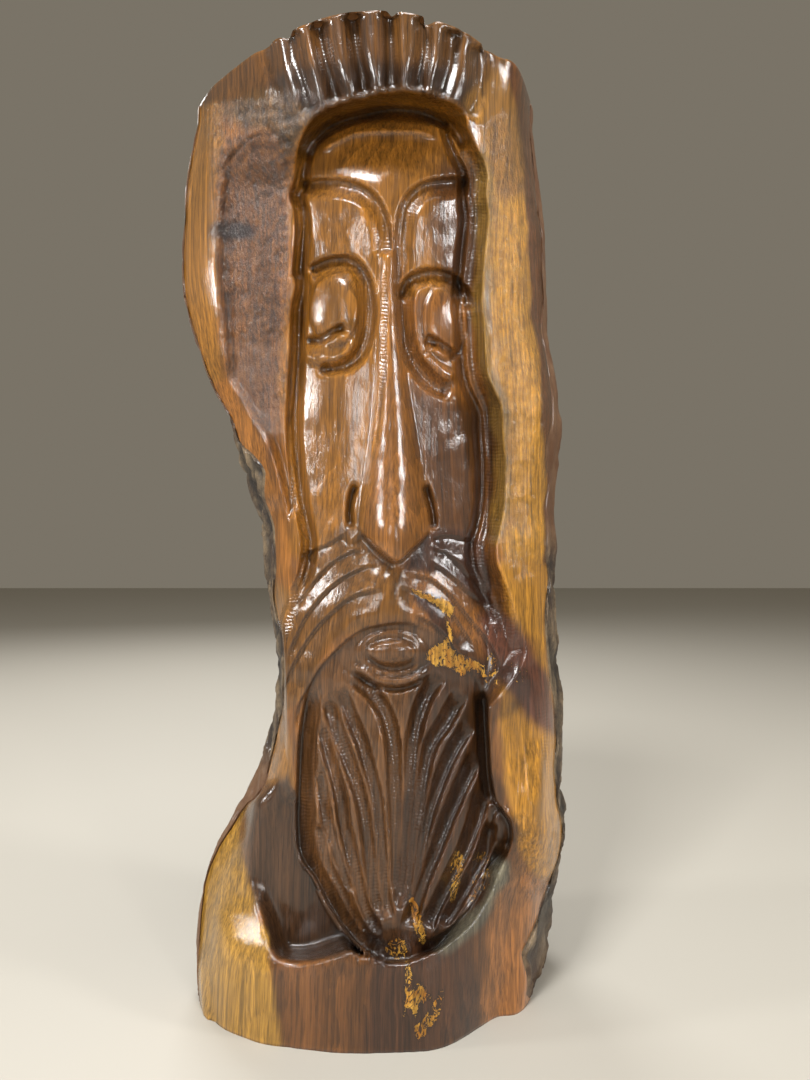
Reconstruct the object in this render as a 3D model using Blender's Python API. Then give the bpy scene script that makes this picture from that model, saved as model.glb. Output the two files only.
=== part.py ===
# A log carved in the front with a long bearded face under a fluted crest of hair.
# Bark is left on its flanks and its back, and its top and underside are sawn flat.

import math

import bmesh
import bpy
import numpy as np

# Height between the saw cuts, and depth of the back behind the outline, in metres
HEIGHT = 0.400
BACK_DEPTH = 0.060

# The carving is drawn in millimetres on a pattern plane that stands through a log of this drawn height.
# Each place on the plane is cut forward or back along its sight line from the carver's eye.
DRAWN_HEIGHT = 400.0
SIGHT_DISTANCE = 340.0
EYE_HEIGHT = 200.0
EYE_OFFSET = 12.0

# Crest flutes and the rough hollow beside the brow; all carving sizes are in millimetres on the pattern
FLUTE_WIDTH = 14.0
FLUTE_DEPTH = 5.0
HOLLOW_DEPTH = 6.0
HOLLOW_SLOPE = 5.0
HOLLOW_TOP = 372.0
HOLLOW_FADE = 26.0
COVE_FLOOR = -4.0
COVE_SLOPE = 9.0
PANEL_FLUTE_WIDTH = 6.0
PANEL_FLUTE_DEPTH = 1.2

# Walls of the recess: on the left, on the right, and the groove round their foot, which fades out low down
RIM_WALL = 2.4
PANEL_WALL = 8.0
CREST_WALL = 3.0
CREST_WALL_START = 360.0
RECESS_GROOVE = 5.0
RECESS_GROOVE_DEPTH = 4.0
GROOVE_START = 165.0
GROOVE_FADE = 25.0

# Brow, eyes and nose
ARCH_WIDTH = 6.5
ARCH_DEPTH = 5.0
FOREHEAD_RISE = 1.6
FOREHEAD_REACH = 6.0
BROW_WIDTH = 9.0
BROW_DEPTH = 3.2
SOCKET_WIDTH = 8.4
SOCKET_DEPTH = 4.2
LID_HEIGHT = 3.2
SLIT_WIDTH = 5.0
SLIT_DEPTH = 3.0
PIT_WIDTH = 3.0
PIT_HEIGHT = 2.2
PIT_DEPTH = 1.6
LOWER_LID_WIDTH = 4.0
LOWER_LID_HEIGHT = 1.6
NOSTRIL_WIDTH = 3.8
NOSTRIL_DEPTH = 4.5

# Moustache, mouth and beard
LIP_LINE_WIDTH = 3.4
STRAND_DROP = 2.2
STRAND_REACH = 10.0
STRAND_EDGE = 0.9
BEARD_SINK = 2.0
BEARD_EDGE = 1.8
LOCK_DEPTH = 4.0
LOCK_HALF_WIDTH = 3.2
CHIN_WIDTH = 4.4
CHIN_RISE = 2.2
KNOT_RISE = 2.4

# Bark: its coat, the depth of its furrows, and how far its edge and the outline take to meet the wood
BARK_LIFT = 3.0
BARK_FURROW = 2.2
BARK_EDGE = 1.0
OUTLINE_FADE = 0.025

# Grid of the solid before it is thinned to facets
COLUMNS = 150
ROWS = 290
BACK_COLUMNS = 44
FACET_SHARE = 0.082

# Waste above and below the saw cuts and least spacing of its rows, in millimetres on the pattern
SAW_WASTE = 2.0
ROW_GAP = 0.3
# Width of the block between the two saw cuts, in metres
SAW_REACH = 0.6

WOOD_COLOUR = (0.185, 0.070, 0.022, 1.0)
WOOD_ROUGHNESS = 0.25

# Plan of the front at the sawn top and at the underside: place across, and lift above the pattern plane
TOP_PLAN = [
    (-86.8, -35.5), (-82.0, -21.0), (-75.5, -9.6), (-62.9, 7.0), (-53.2, 17.0), (-41.5, 25.5), (-29.8, 31.0),
    (-14.7, 33.5), (0.4, 32.5), (14.7, 27.0), (26.0, 20.0), (37.7, 5.6), (49.5, -11.8), (53.7, -37.2),
]
FOOT_PLAN = [
    (-87.2, -20.4), (-85.9, -8.8), (-79.6, 3.5), (-65.0, 15.6), (-44.0, 21.3), (-6.3, 23.8), (18.9, 18.8),
    (37.7, 0.7), (52.4, -12.6), (58.7, -41.6),
]

# Outlines of the log on the pattern plane, from the foot up: place across, and height above the bench
LEFT_OUTLINE = [
    (-87.2, 13.4), (-88.0, 23.9), (-87.2, 36.5), (-84.7, 57.5), (-79.7, 72.1), (-69.2, 91.0),
    (-62.9, 103.6), (-58.7, 116.2), (-55.8, 128.7), (-55.3, 153.9), (-56.6, 170.7), (-59.5, 187.4),
    (-61.6, 208.4), (-65.0, 218.9), (-71.3, 237.7), (-74.2, 251.1), (-78.4, 259.5), (-83.8, 271.3),
    (-90.1, 290.1), (-93.1, 304.8), (-93.5, 321.6), (-92.2, 346.7), (-87.6, 371.9), (-86.8, 381.1),
]
RIGHT_OUTLINE = [
    (58.7, 21.8), (62.0, 36.5), (65.0, 61.7), (68.3, 74.2), (68.3, 86.8), (66.2, 99.4),
    (66.7, 132.9), (65.0, 153.9), (63.7, 166.5), (63.3, 187.4), (64.1, 200.0), (63.3, 216.8),
    (65.8, 246.1), (63.3, 267.1), (60.4, 283.8), (60.0, 300.6), (59.1, 325.8), (56.6, 346.7),
    (54.5, 363.5), (53.7, 380.3),
]

# Lift of the uncarved front at these shares of its width, for sections at these shares of the rise to the top
SECTION_SHARES = [0.0, 0.06, 0.15, 0.3, 0.5, 0.7, 0.85, 0.94, 1.0]
SECTIONS = [
    (0.09, [-26, -2, 12, 20, 22, 18, 2, -12, -40]),
    (0.13, [-29, -10, 4, 14, 18, 14, 3, -12, -37]),
    (0.19, [-30, -10, 2, 8, 12, 11, 8, 1, -31]),
    (0.30, [-30, -4, 4, 9, 13, 10, 5, -5, -31]),
    (0.41, [-30, -3, 7, 11, 14, 12, 5, -7, -31]),
    (0.53, [-32, -10, 5, 8, 10, 10, 1, -8, -31]),
    (0.63, [-32, -12, 0, 6, 10, 10, 2, -7, -31]),
    (0.735, [-33, -17, -5, 9, 10, 10, 3, -7, -31]),
    (0.86, [-33, -18, -5, 10, 18, 14, 5, -8, -32]),
    (0.93, [-36, -17, 1, 20, 31, 26, 8, -8, -36]),
]

# The face stands in a recess with this edge, under the crest
RECESS_OUTLINE = [
    (-6.7, 388.2), (-17.6, 385.7), (-28.5, 382.8), (-37.3, 378.2), (-42.8, 370.6), (-45.7, 361.4),
    (-47.0, 350.9), (-48.6, 344.6), (-47.0, 337.5), (-46.5, 329.1), (-47.8, 313.2), (-46.5, 306.9),
    (-48.2, 296.4), (-48.6, 279.7), (-49.5, 265.0), (-50.3, 250.3), (-49.5, 233.5), (-47.4, 216.8),
    (-44.4, 202.1), (-44.0, 195.8), (-45.3, 187.0), (-48.6, 178.2), (-52.0, 168.6), (-52.8, 158.1),
    (-52.0, 141.3), (-51.1, 124.5), (-49.9, 109.9), (-47.4, 99.4), (-44.9, 96.0), (-31.4, 107.8),
    (-2.1, 116.2), (27.3, 124.5), (41.9, 137.1), (51.1, 151.8), (49.1, 161.4), (45.7, 172.7),
    (41.9, 183.2), (38.6, 190.8), (38.2, 197.5), (39.8, 202.9), (41.9, 215.1), (42.3, 231.0),
    (41.5, 243.2), (40.7, 254.9), (38.2, 261.6), (35.2, 268.3), (34.0, 276.3), (33.1, 292.2),
    (32.3, 300.2), (33.5, 316.5), (34.8, 328.3), (35.2, 336.3), (34.4, 344.2), (34.8, 352.6),
    (33.1, 359.3), (29.8, 365.6), (26.8, 372.7), (25.2, 379.4), (17.6, 384.9), (6.3, 388.2),
]
# Lift of the face down its middle and along its edge: height above the bench, lift
FACE_MIDDLE = [
    (28, 13), (49, 16), (91, 17), (124, 16), (154, 15), (175, 17), (200, 13), (238, 10), (284, 9), (317, 10),
    (352, 12), (372, 11),
]
FACE_EDGE = [
    (28, 4), (91, 3), (124, 3), (154, 4), (175, 2), (200, -2), (238, -5), (284, -6), (317, -5), (352, -1),
    (372, 2),
]
FACE_CENTRE = -8.0
FACE_HALF_WIDTH = 37.0

BROW_ARCH = [
    (-44.0, 359.3), (-39.0, 366.9), (-31.4, 373.1), (-22.2, 376.9), (-8.4, 379.0), (6.3, 378.2),
    (16.8, 375.2), (23.1, 370.2), (26.0, 363.5),
]
FOREHEAD_EDGE = [(-36.5, 363.5), (-27.3, 369.0), (-19.7, 371.9), (-7.5, 372.7), (5.5, 372.3), (14.7, 369.4)]
# Brow and socket grooves: how far each leans to the left of its line, and the line
BROWS = [
    (0.7, [
        (-44.0, 346.7), (-33.5, 347.6), (-23.9, 346.7), (-16.4, 343.4), (-11.7, 336.7), (-9.2, 327.9),
        (-8.8, 319.1),
    ]),
    (-0.7, [
        (28.1, 348.4), (18.9, 348.0), (9.6, 346.7), (3.8, 342.5), (0.8, 335.0), (-0.4, 325.8),
        (-0.4, 316.5), (-0.8, 308.2), (-0.8, 299.8),
    ]),
]
SOCKETS = [
    (0.7, [
        (-40.7, 309.8), (-34.8, 313.6), (-27.3, 315.7), (-21.4, 314.0), (-17.2, 307.3), (-15.9, 298.1),
        (-16.4, 288.0), (-18.9, 279.7), (-23.9, 274.6), (-30.6, 272.9), (-36.5, 273.8),
    ]),
    (-0.6, [
        (26.4, 294.7), (23.1, 303.1), (18.0, 308.6), (10.5, 310.3), (2.9, 307.3), (0.0, 298.9),
        (0.4, 288.0), (2.5, 278.8), (6.3, 271.3), (12.2, 265.4), (20.5, 262.0),
    ]),
]
# Eyelids: place, half width and half height
EYELIDS = [(-30.0, 296.5, 10.5, 15.5), (16.6, 292.0, 9.5, 16.0)]
EYE_SLITS = [
    [(-42.3, 283.0), (-37.3, 283.0), (-32.3, 285.1), (-28.1, 288.0), (-24.7, 288.9)],
    [(8.0, 284.7), (12.2, 283.0), (17.2, 279.7), (22.2, 276.3)],
]
EYE_PITS = [(-26.0, 288.0), (10.9, 281.8)]
LOWER_LIDS = [
    [(-42.8, 278.8), (-36.5, 275.5), (-29.8, 275.0), (-23.9, 278.8), (-20.5, 284.7)],
    [(8.0, 278.8), (11.3, 274.6), (16.4, 270.4), (21.4, 267.9)],
]
# The nose from its tip up: height above the bench, lift over the face, half width, place of its middle
NOSE_FORM = [
    (186, 9.0, 12.0, -3.6), (194, 12.5, 14.0, -4.0), (203, 14.5, 15.0, -4.6), (213, 13.5, 14.6, -4.8),
    (228, 11.0, 12.5, -4.8), (245, 9.0, 10.0, -5.0), (270, 6.8, 7.0, -6.0), (295, 5.0, 5.0, -6.6),
    (315, 3.4, 3.6, -7.0), (330, 0.0, 3.0, -7.2),
]
NOSE_BASE = [
    (-21.4, 206.7), (-16.4, 200.0), (-10.1, 194.5), (-3.4, 189.9), (2.9, 195.0), (8.0, 200.0),
    (12.2, 205.9),
]
NOSTRILS = [
    [(-20.5, 223.5), (-22.2, 218.4), (-23.1, 211.7), (-22.6, 205.0)],
    [(8.0, 223.5), (10.1, 217.6), (11.7, 210.9), (12.2, 204.2)],
]
MOUSTACHE = [
    [(-44.9, 193.3), (-39.0, 195.8), (-33.1, 198.3), (-28.5, 200.8), (-24.7, 203.4)],
    [
        (-46.5, 172.3), (-42.3, 177.4), (-37.3, 184.1), (-33.1, 188.7), (-28.1, 192.5), (-22.2, 195.4),
        (-15.5, 195.8),
    ],
    [
        (-50.7, 148.0), (-47.4, 156.4), (-42.8, 166.5), (-37.3, 174.0), (-31.0, 180.7), (-23.9, 185.7),
        (-17.2, 188.7), (-9.6, 189.5),
    ],
    [
        (-52.4, 132.1), (-48.6, 144.7), (-43.2, 155.1), (-36.9, 163.9), (-29.8, 171.1), (-23.1, 176.1),
        (-15.9, 178.6), (-7.1, 179.5),
    ],
    [
        (-47.4, 120.3), (-44.9, 130.8), (-39.8, 139.6), (-34.4, 147.2), (-28.9, 153.9), (-23.1, 159.3),
        (-16.8, 162.7), (-9.6, 164.4), (-0.4, 165.2),
    ],
    [(-18.4, 203.8), (-13.8, 197.5), (-8.8, 192.5), (-3.4, 188.7)],
    [(29.8, 199.6), (23.1, 201.3), (17.2, 202.1), (10.5, 200.8)],
    [(38.6, 169.8), (32.3, 179.9), (27.3, 184.9), (22.2, 190.8), (17.2, 195.0), (10.5, 197.5)],
    [(39.8, 164.4), (33.1, 173.6), (28.1, 177.4), (21.4, 183.2), (16.4, 187.4), (10.5, 191.6)],
    [(42.3, 143.0), (35.6, 156.8), (27.3, 167.3), (21.4, 174.8), (15.9, 179.9), (9.6, 184.1), (-2.1, 187.0)],
    [(30.6, 153.0), (21.4, 167.3), (15.1, 172.7), (6.3, 177.8), (-2.9, 181.6)],
    [(27.3, 143.0), (19.7, 155.6), (16.4, 160.6), (10.5, 165.6), (2.9, 169.4)],
]
BEARD_OUTLINE = [
    (-11.7, 164.8), (-18.9, 162.3), (-24.3, 158.1), (-31.0, 153.0), (-36.5, 146.8), (-40.7, 139.2),
    (-43.2, 130.8), (-45.3, 116.2), (-46.1, 97.7), (-46.5, 83.5), (-45.7, 70.0), (-42.8, 63.3),
    (-39.0, 58.3), (-33.1, 47.0), (-26.4, 36.5), (-19.3, 28.5), (-11.3, 23.5), (-2.1, 22.2),
    (8.4, 25.2), (18.9, 30.2), (29.3, 38.6), (37.3, 51.2), (41.1, 61.7), (44.9, 72.1),
    (45.3, 80.5), (41.9, 86.8), (38.6, 91.0), (36.5, 103.6), (35.6, 120.3), (34.8, 132.9),
    (31.4, 141.3), (25.2, 149.7), (18.0, 158.1), (9.2, 163.5), (-0.4, 166.0),
]
# Mouth: place, half width, half height and rise of its mound and of the parted lip, and the lines round them
MOUTH = [(-5.5, 152.4, 15.5, 9.5, 2.4), (-5.6, 153.0, 10.0, 5.0, 2.4)]
LIP_LINES = [
    (1.8, [(-17.2, 153.9), (-14.7, 150.1), (-10.1, 146.8), (-4.2, 145.9), (1.7, 147.2), (6.3, 150.9)]),
    (0.9, [(-16.4, 154.7), (-12.2, 157.7), (-5.9, 159.3), (0.8, 158.5), (6.3, 155.1)]),
    (2.2, [
        (-25.2, 146.8), (-20.5, 143.8), (-15.5, 140.5), (-9.6, 138.0), (-2.9, 137.5), (3.8, 139.6),
        (9.6, 143.8),
    ]),
]
CHIN_FOLD = [(-23.1, 147.2), (-16.4, 144.2), (-10.5, 141.3), (-2.5, 140.5), (4.6, 142.1), (10.5, 146.3)]
# Channels of the beard: half width, and the line
BEARD_LOCKS = [
    (3.9, [
        (-23.9, 144.2), (-15.9, 138.0), (-9.6, 130.0), (-5.9, 119.5), (-4.2, 103.6), (-3.4, 83.5),
        (-2.9, 65.8), (-3.4, 47.0),
    ]),
    (3.4, [
        (-28.1, 139.6), (-23.1, 127.1), (-18.0, 114.9), (-15.1, 103.6), (-12.2, 91.0), (-10.5, 74.2),
        (-8.8, 53.3), (-7.1, 38.6),
    ]),
    (3.8, [
        (-32.3, 137.1), (-28.1, 119.1), (-23.1, 105.7), (-18.4, 93.5), (-15.9, 81.4), (-14.3, 67.9),
        (-13.0, 54.9), (-9.6, 38.6),
    ]),
    (3.4, [
        (-35.6, 126.6), (-31.0, 109.0), (-27.3, 94.8), (-25.2, 81.4), (-22.6, 67.9), (-18.9, 54.9),
        (-15.5, 43.6), (-11.3, 33.1),
    ]),
    (3.0, [(-36.1, 105.7), (-32.7, 83.5), (-29.8, 71.3), (-26.0, 60.8), (-21.4, 49.1)]),
    (3.2, [(-36.5, 82.6), (-34.4, 71.7), (-31.4, 62.5), (-26.0, 52.8), (-21.0, 41.9), (-14.7, 32.3)]),
    (5.4, [
        (-39.0, 141.3), (-41.1, 120.3), (-41.9, 103.6), (-42.3, 83.5), (-40.2, 68.4), (-34.8, 57.0),
        (-27.3, 43.6), (-19.3, 32.7), (-11.3, 26.9), (-3.8, 25.2),
    ]),
    (3.8, [
        (14.7, 144.7), (8.0, 132.9), (4.2, 120.3), (2.5, 105.7), (1.7, 91.0), (0.0, 74.2),
        (-1.3, 57.5), (-2.1, 42.8),
    ]),
    (3.8, [(23.9, 137.1), (16.8, 123.7), (9.6, 112.0), (6.3, 95.2), (3.8, 78.4), (1.7, 61.7), (0.0, 47.0)]),
    (3.4, [(27.3, 123.7), (19.7, 111.1), (13.8, 97.3), (9.6, 84.7), (6.3, 70.0), (2.9, 55.4), (0.4, 42.8)]),
    (3.6, [(30.6, 111.1), (23.9, 97.3), (18.4, 84.7), (13.4, 72.1), (8.8, 60.8), (4.6, 49.1), (1.3, 36.5)]),
    (3.4, [(33.1, 95.2), (28.9, 80.5), (23.9, 67.9), (18.4, 57.5), (13.4, 47.0), (8.4, 36.5)]),
    (4.2, [(32.7, 137.1), (34.0, 117.8), (35.2, 103.6), (38.2, 88.5)]),
    (3.2, [(36.1, 82.6), (33.1, 70.0), (27.3, 58.3), (21.0, 47.0), (14.7, 37.3)]),
    (5.0, [(42.3, 71.7), (40.2, 65.0), (37.3, 54.9), (32.3, 44.9), (23.9, 35.7), (14.7, 29.4), (4.2, 26.0)]),
]
# A knot at the edge of the beard: place and radius
KNOT = (41.2, 80.3, 5.0)
COVE_OUTLINE = [
    (-45.7, 95.2), (-51.6, 100.2), (-60.0, 97.7), (-65.4, 92.7), (-67.9, 84.7), (-68.3, 73.4),
    (-66.7, 61.7), (-62.9, 50.3), (-59.5, 39.0), (-56.2, 28.5), (-52.4, 23.9), (-43.2, 22.7),
    (-34.0, 24.3), (-23.9, 27.3), (-18.0, 25.2), (-10.5, 28.1), (-27.3, 57.5), (-35.6, 82.6),
    (-39.0, 95.2),
]
# Flutes of the crest: share of the full depth, and the line
CREST_FLUTES = [
    (0.45, [(-58.7, 409.6), (-55.8, 397.0), (-51.1, 384.5), (-48.2, 374.0)]),
    (0.9, [(-48.2, 413.8), (-45.3, 401.2), (-41.5, 388.7), (-39.0, 378.6)]),
    (1.0, [(-36.5, 418.0), (-34.0, 405.4), (-30.6, 392.8), (-28.1, 382.8)]),
    (1.0, [(-22.2, 421.4), (-20.5, 407.5), (-18.0, 394.9), (-16.4, 385.7)]),
    (1.0, [(-6.7, 422.2), (-6.3, 407.5), (-5.9, 397.0), (-5.9, 387.8)]),
    (1.0, [(8.4, 419.7), (8.0, 405.4), (6.3, 394.9), (5.5, 387.8)]),
    (0.9, [(20.1, 414.6), (18.9, 401.2), (16.4, 392.0), (14.7, 385.3)]),
    (0.8, [(30.6, 407.9), (31.9, 397.0), (30.2, 386.6), (26.4, 376.9)]),
]
# A rough hollow beside the brow, inside the left rim
HOLLOW_OUTLINE = [
    (-44.0, 384.5), (-56.6, 384.5), (-69.2, 376.1), (-76.7, 363.5), (-78.0, 349.7), (-79.2, 332.5),
    (-79.7, 315.3), (-78.4, 296.4), (-76.3, 278.4), (-75.0, 267.1), (-70.0, 259.5), (-65.0, 251.1),
    (-59.1, 242.3), (-55.3, 231.4), (-52.4, 219.3), (-48.2, 208.4), (-39.8, 225.2), (-39.8, 300.6),
]
# Shallow flutes down the sapwood beside the beard
PANEL_FLUTES = [
    [(41.9, 137.1), (44.9, 120.3), (47.0, 103.6), (48.6, 86.8)],
    [(48.2, 141.3), (51.6, 124.5), (53.7, 105.7), (54.9, 84.7)],
    [(55.3, 137.1), (58.3, 120.3), (60.4, 103.6), (62.0, 91.0)],
]
# Bark stays on the flanks inside these edges
BARK_LEFT = [
    (-85.9, 270.4), (-78.4, 260.8), (-72.5, 251.1), (-66.7, 239.4), (-62.5, 225.2), (-60.0, 210.5),
    (-59.1, 197.9), (-57.4, 183.2), (-54.1, 169.8), (-52.8, 153.9), (-53.2, 132.9), (-55.8, 116.2),
    (-60.0, 103.6), (-65.0, 95.2), (-73.4, 103.6), (-85.9, 174.8),
]
BARK_RIGHT = [
    (61.6, 200.0), (60.8, 174.8), (61.6, 158.1), (63.3, 132.9), (63.3, 99.4), (65.8, 78.4),
    (63.3, 65.8), (59.1, 57.5), (55.8, 44.9), (52.4, 28.1), (54.5, 13.4), (81.8, 11.3),
    (81.8, 208.4), (67.1, 214.7),
]


def smooth(value):
    value = np.clip(value, 0.0, 1.0)
    return value * value * (3.0 - 2.0 * value)


def table(rows, column, places):
    # reads one column of a list against its first column, with eased steps between rows
    stations = np.array([row[0] for row in rows], float)
    values = np.array([row[column] for row in rows], float)
    slopes = np.gradient(values, stations)
    spot = np.clip(np.searchsorted(stations, places) - 1, 0, len(stations) - 2)
    span = stations[spot + 1] - stations[spot]
    u = np.clip((places - stations[spot]) / span, 0.0, 1.0)
    start = (1 + 2 * u) * (1 - u) ** 2 * values[spot] + u * (1 - u) ** 2 * span * slopes[spot]
    end = u * u * (3 - 2 * u) * values[spot + 1] + u * u * (u - 1) * span * slopes[spot + 1]
    return start + end


def flow(points, closed=False, steps=7):
    # a smooth line through the points
    points = np.array(points, float)
    if closed:
        before, after = np.roll(points, 1, axis=0), np.roll(points, -1, axis=0)
        tangents = (after - before) / 2
        starts, ends = points, after
        first, last = tangents, np.roll(tangents, -1, axis=0)
    else:
        tangents = np.gradient(points, axis=0)
        starts, ends = points[:-1], points[1:]
        first, last = tangents[:-1], tangents[1:]
    u = (np.arange(steps) / steps)[None, :, None]
    blend = ((1 + 2 * u) * (1 - u) ** 2 * starts[:, None] + u * (1 - u) ** 2 * first[:, None]
             + u * u * (3 - 2 * u) * ends[:, None] + u * u * (u - 1) * last[:, None])
    line = blend.reshape(-1, 2)
    return np.vstack([line, points[:1] if closed else points[-1:]])


# The carved front: places on the pattern plane and how far each is lifted towards the eye
class Surface:
    def __init__(self, across, height):
        self.across = across.ravel()
        self.height = height.ravel()
        self.lift = np.zeros(self.across.shape)

    def near(self, line, reach):
        # the places within reach of a line: which they are, their distance, share along it and side of it
        low, high = line.min(axis=0) - reach, line.max(axis=0) + reach
        rows = np.nonzero((self.across > low[0]) & (self.across < high[0])
                          & (self.height > low[1]) & (self.height < high[1]))[0]
        spots = np.stack([self.across[rows], self.height[rows]], axis=1)
        distance = np.full(len(rows), np.inf)
        along = np.zeros(len(rows))
        side = np.zeros(len(rows))
        run = 0.0
        for start, end in zip(line[:-1], line[1:]):
            step = end - start
            length = math.hypot(*step)
            if length == 0.0:
                continue
            offset = spots - start
            share = np.clip(offset @ step / length ** 2, 0.0, 1.0)
            gap = offset - share[:, None] * step
            reached = np.hypot(gap[:, 0], gap[:, 1])
            closer = reached < distance
            distance = np.where(closer, reached, distance)
            along = np.where(closer, run + share * length, along)
            side = np.where(closer, np.sign(step[0] * offset[:, 1] - step[1] * offset[:, 0]), side)
            run += length
        return rows, distance, along / run, side

    def depth_inside(self, points):
        # distance in from a closed edge, negative outside it
        line = flow(points, closed=True)
        _, distance, _, _ = self.near(line, DRAWN_HEIGHT)
        inside = np.zeros(len(self.across), bool)
        for start, end in zip(line[:-1], line[1:]):
            if start[1] == end[1]:
                continue
            crosses = (start[1] > self.height) != (end[1] > self.height)
            slope = (end[0] - start[0]) / (end[1] - start[1])
            inside ^= crosses & (self.across < start[0] + (self.height - start[1]) * slope)
        return np.where(inside, distance, -distance)

    def gouge(self, points, width, depth, fade=0.12, lean=0.0):
        # a round groove that fades out at its ends, deeper to the left of its line by the lean
        rows, distance, along, side = self.near(flow(points), width / 2)
        across = np.clip(2.0 * distance / width, 0.0, 1.0) * side
        profile = np.clip(1.0 - across ** 2, 0.0, 1.0) ** 0.75 * (1.0 + lean * across)
        ends = smooth(np.minimum(along, 1.0 - along) / fade)
        self.lift[rows] -= depth * profile * ends

    def flute(self, points, width, depth, fade=0.08):
        # a notch with rounded shoulders
        rows, distance, along, _ = self.near(flow(points), width / 2)
        profile = smooth(1.0 - 2.0 * distance / width) ** 1.3
        self.lift[rows] -= depth * profile * smooth(np.minimum(along, 1.0 - along) / fade)

    def step_down(self, points, drop, reach, fade=0.15):
        # a shingled edge: the wood drops on the left of the line and climbs back over the reach
        rows, distance, along, side = self.near(flow(points), reach)
        ends = smooth(np.minimum(along, 1.0 - along) / fade)
        fall = smooth(distance / STRAND_EDGE) * (1.0 - smooth(distance / reach))
        self.lift[rows] -= drop * fall * ends * (side > 0)

    def dome(self, x, z, half_width, half_height, rise):
        spread = ((self.across - x) / half_width) ** 2 + ((self.height - z) / half_height) ** 2
        self.lift += rise * np.sqrt(np.clip(1.0 - spread, 0.0, 1.0))


def top_lift(across):
    return table(TOP_PLAN, 1, across)


def foot_lift(across):
    return table(FOOT_PLAN, 1, across)


def sight_height(level, lift):
    # height on the pattern plane of a place that lies at a level and a lift
    return EYE_HEIGHT + (level - EYE_HEIGHT) * SIGHT_DISTANCE / (SIGHT_DISTANCE - lift)


def outline(points, heights, foot, top):
    # across the flank at each height, between its lowest and its highest place
    inner = [p for p in points if foot[1] + 2 * SAW_WASTE < p[1] < top[1] - 2 * SAW_WASTE]
    stations = np.array([foot] + inner + [top])
    return np.interp(heights, stations[:, 1], stations[:, 0])


def bark_relief(turn, height):
    # long furrows that wander up the log, cut across now and then into plates
    wander = 0.9 * math.pi * np.sin(height / 37.0) + 1.3 * np.sin(height / 13.0 + 2.0 * turn)
    ridge = np.sin(9.0 * turn + wander) + 0.6 * np.sin(17.0 * turn - 0.7 * wander + 1.0)
    plates = np.sin(height / 6.5 + 3.0 * np.sin(3.0 * turn))
    return BARK_FURROW * (0.55 * ridge + 0.35 * plates * (ridge > 0))


def front_grid():
    # places on the pattern plane, from the left outline to the right one and from the foot to the top
    share = np.linspace(0.0, 1.0, COLUMNS + 1)
    rise = np.linspace(0.0, 1.0, ROWS + 1)
    top_across = TOP_PLAN[0][0] + share * (TOP_PLAN[-1][0] - TOP_PLAN[0][0])
    foot_across = FOOT_PLAN[0][0] + share * (FOOT_PLAN[-1][0] - FOOT_PLAN[0][0])
    top_height = sight_height(DRAWN_HEIGHT + SAW_WASTE, top_lift(top_across))
    foot_height = sight_height(-SAW_WASTE, foot_lift(foot_across))
    notched = top_height
    for _ in range(4):
        edge = Surface(top_across, notched)
        edge.lift = top_lift(top_across)
        cut_flutes(edge)
        notched = sight_height(DRAWN_HEIGHT + SAW_WASTE, edge.lift)

    left_height = foot_height[0] + rise * (top_height[0] - foot_height[0])
    right_height = foot_height[-1] + rise * (top_height[-1] - foot_height[-1])
    foot_places = list(zip(foot_across, foot_height))
    top_places = list(zip(top_across, top_height))
    left = outline(LEFT_OUTLINE, left_height, foot_places[0], top_places[0])
    right = outline(RIGHT_OUTLINE, right_height, foot_places[-1], top_places[-1])

    s, t = share[None, :], rise[:, None]
    across = (1 - s) * left[:, None] + s * right[:, None]
    height = ((1 - s) * left_height[:, None] + s * right_height[:, None]
              + (1 - t) * foot_height[None, :] + t * top_height[None, :]
              - (1 - s) * ((1 - t) * foot_height[0] + t * top_height[0])
              - s * ((1 - t) * foot_height[-1] + t * top_height[-1]))
    height += (notched - top_height)[None, :] * smooth((t - 0.8) / 0.2)
    return s + 0 * t, t + 0 * s, across, height


def uncarved(share, rise):
    # the lofted front of the log between its two plans
    line = share[0]
    stations = [0.0] + [station for station, _ in SECTIONS] + [1.0]
    lifts = [foot_lift(FOOT_PLAN[0][0] + line * (FOOT_PLAN[-1][0] - FOOT_PLAN[0][0]))]
    for _, values in SECTIONS:
        lifts.append(table(list(zip(SECTION_SHARES, values)), 1, line))
    lifts.append(top_lift(TOP_PLAN[0][0] + line * (TOP_PLAN[-1][0] - TOP_PLAN[0][0])))
    lifts = np.array(lifts)
    result = np.empty(share.shape)
    for column in range(share.shape[1]):
        result[:, column] = table(list(zip(stations, lifts[:, column])), 1, rise[:, column])
    return result


def cut_flutes(surface):
    for strength, points in CREST_FLUTES:
        surface.flute(points, FLUTE_WIDTH, strength * FLUTE_DEPTH)


def face_form(surface):
    # the broad rounding of the face from its middle line to its edges
    offset = (surface.across - FACE_CENTRE) / FACE_HALF_WIDTH
    middle = table(FACE_MIDDLE, 1, surface.height)
    edge = table(FACE_EDGE, 1, surface.height)
    return edge + (middle - edge) * (1.0 - np.clip(np.abs(offset), 0.0, 1.15) ** 2)


def scoop_hollows(surface):
    hollow = surface.depth_inside(HOLLOW_OUTLINE)
    fade = smooth((HOLLOW_TOP - surface.height) / HOLLOW_FADE)
    surface.lift -= HOLLOW_DEPTH * smooth(hollow / HOLLOW_SLOPE) * fade
    cove = surface.depth_inside(COVE_OUTLINE)
    scoop = 1.0 - (1.0 - np.clip(cove / COVE_SLOPE, 0.0, 1.0)) ** 2.2
    scoop *= surface.depth_inside(BEARD_OUTLINE) < 0
    surface.lift += (COVE_FLOOR - surface.lift) * scoop
    for points in PANEL_FLUTES:
        surface.gouge(points, PANEL_FLUTE_WIDTH, PANEL_FLUTE_DEPTH, fade=0.3)


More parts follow.
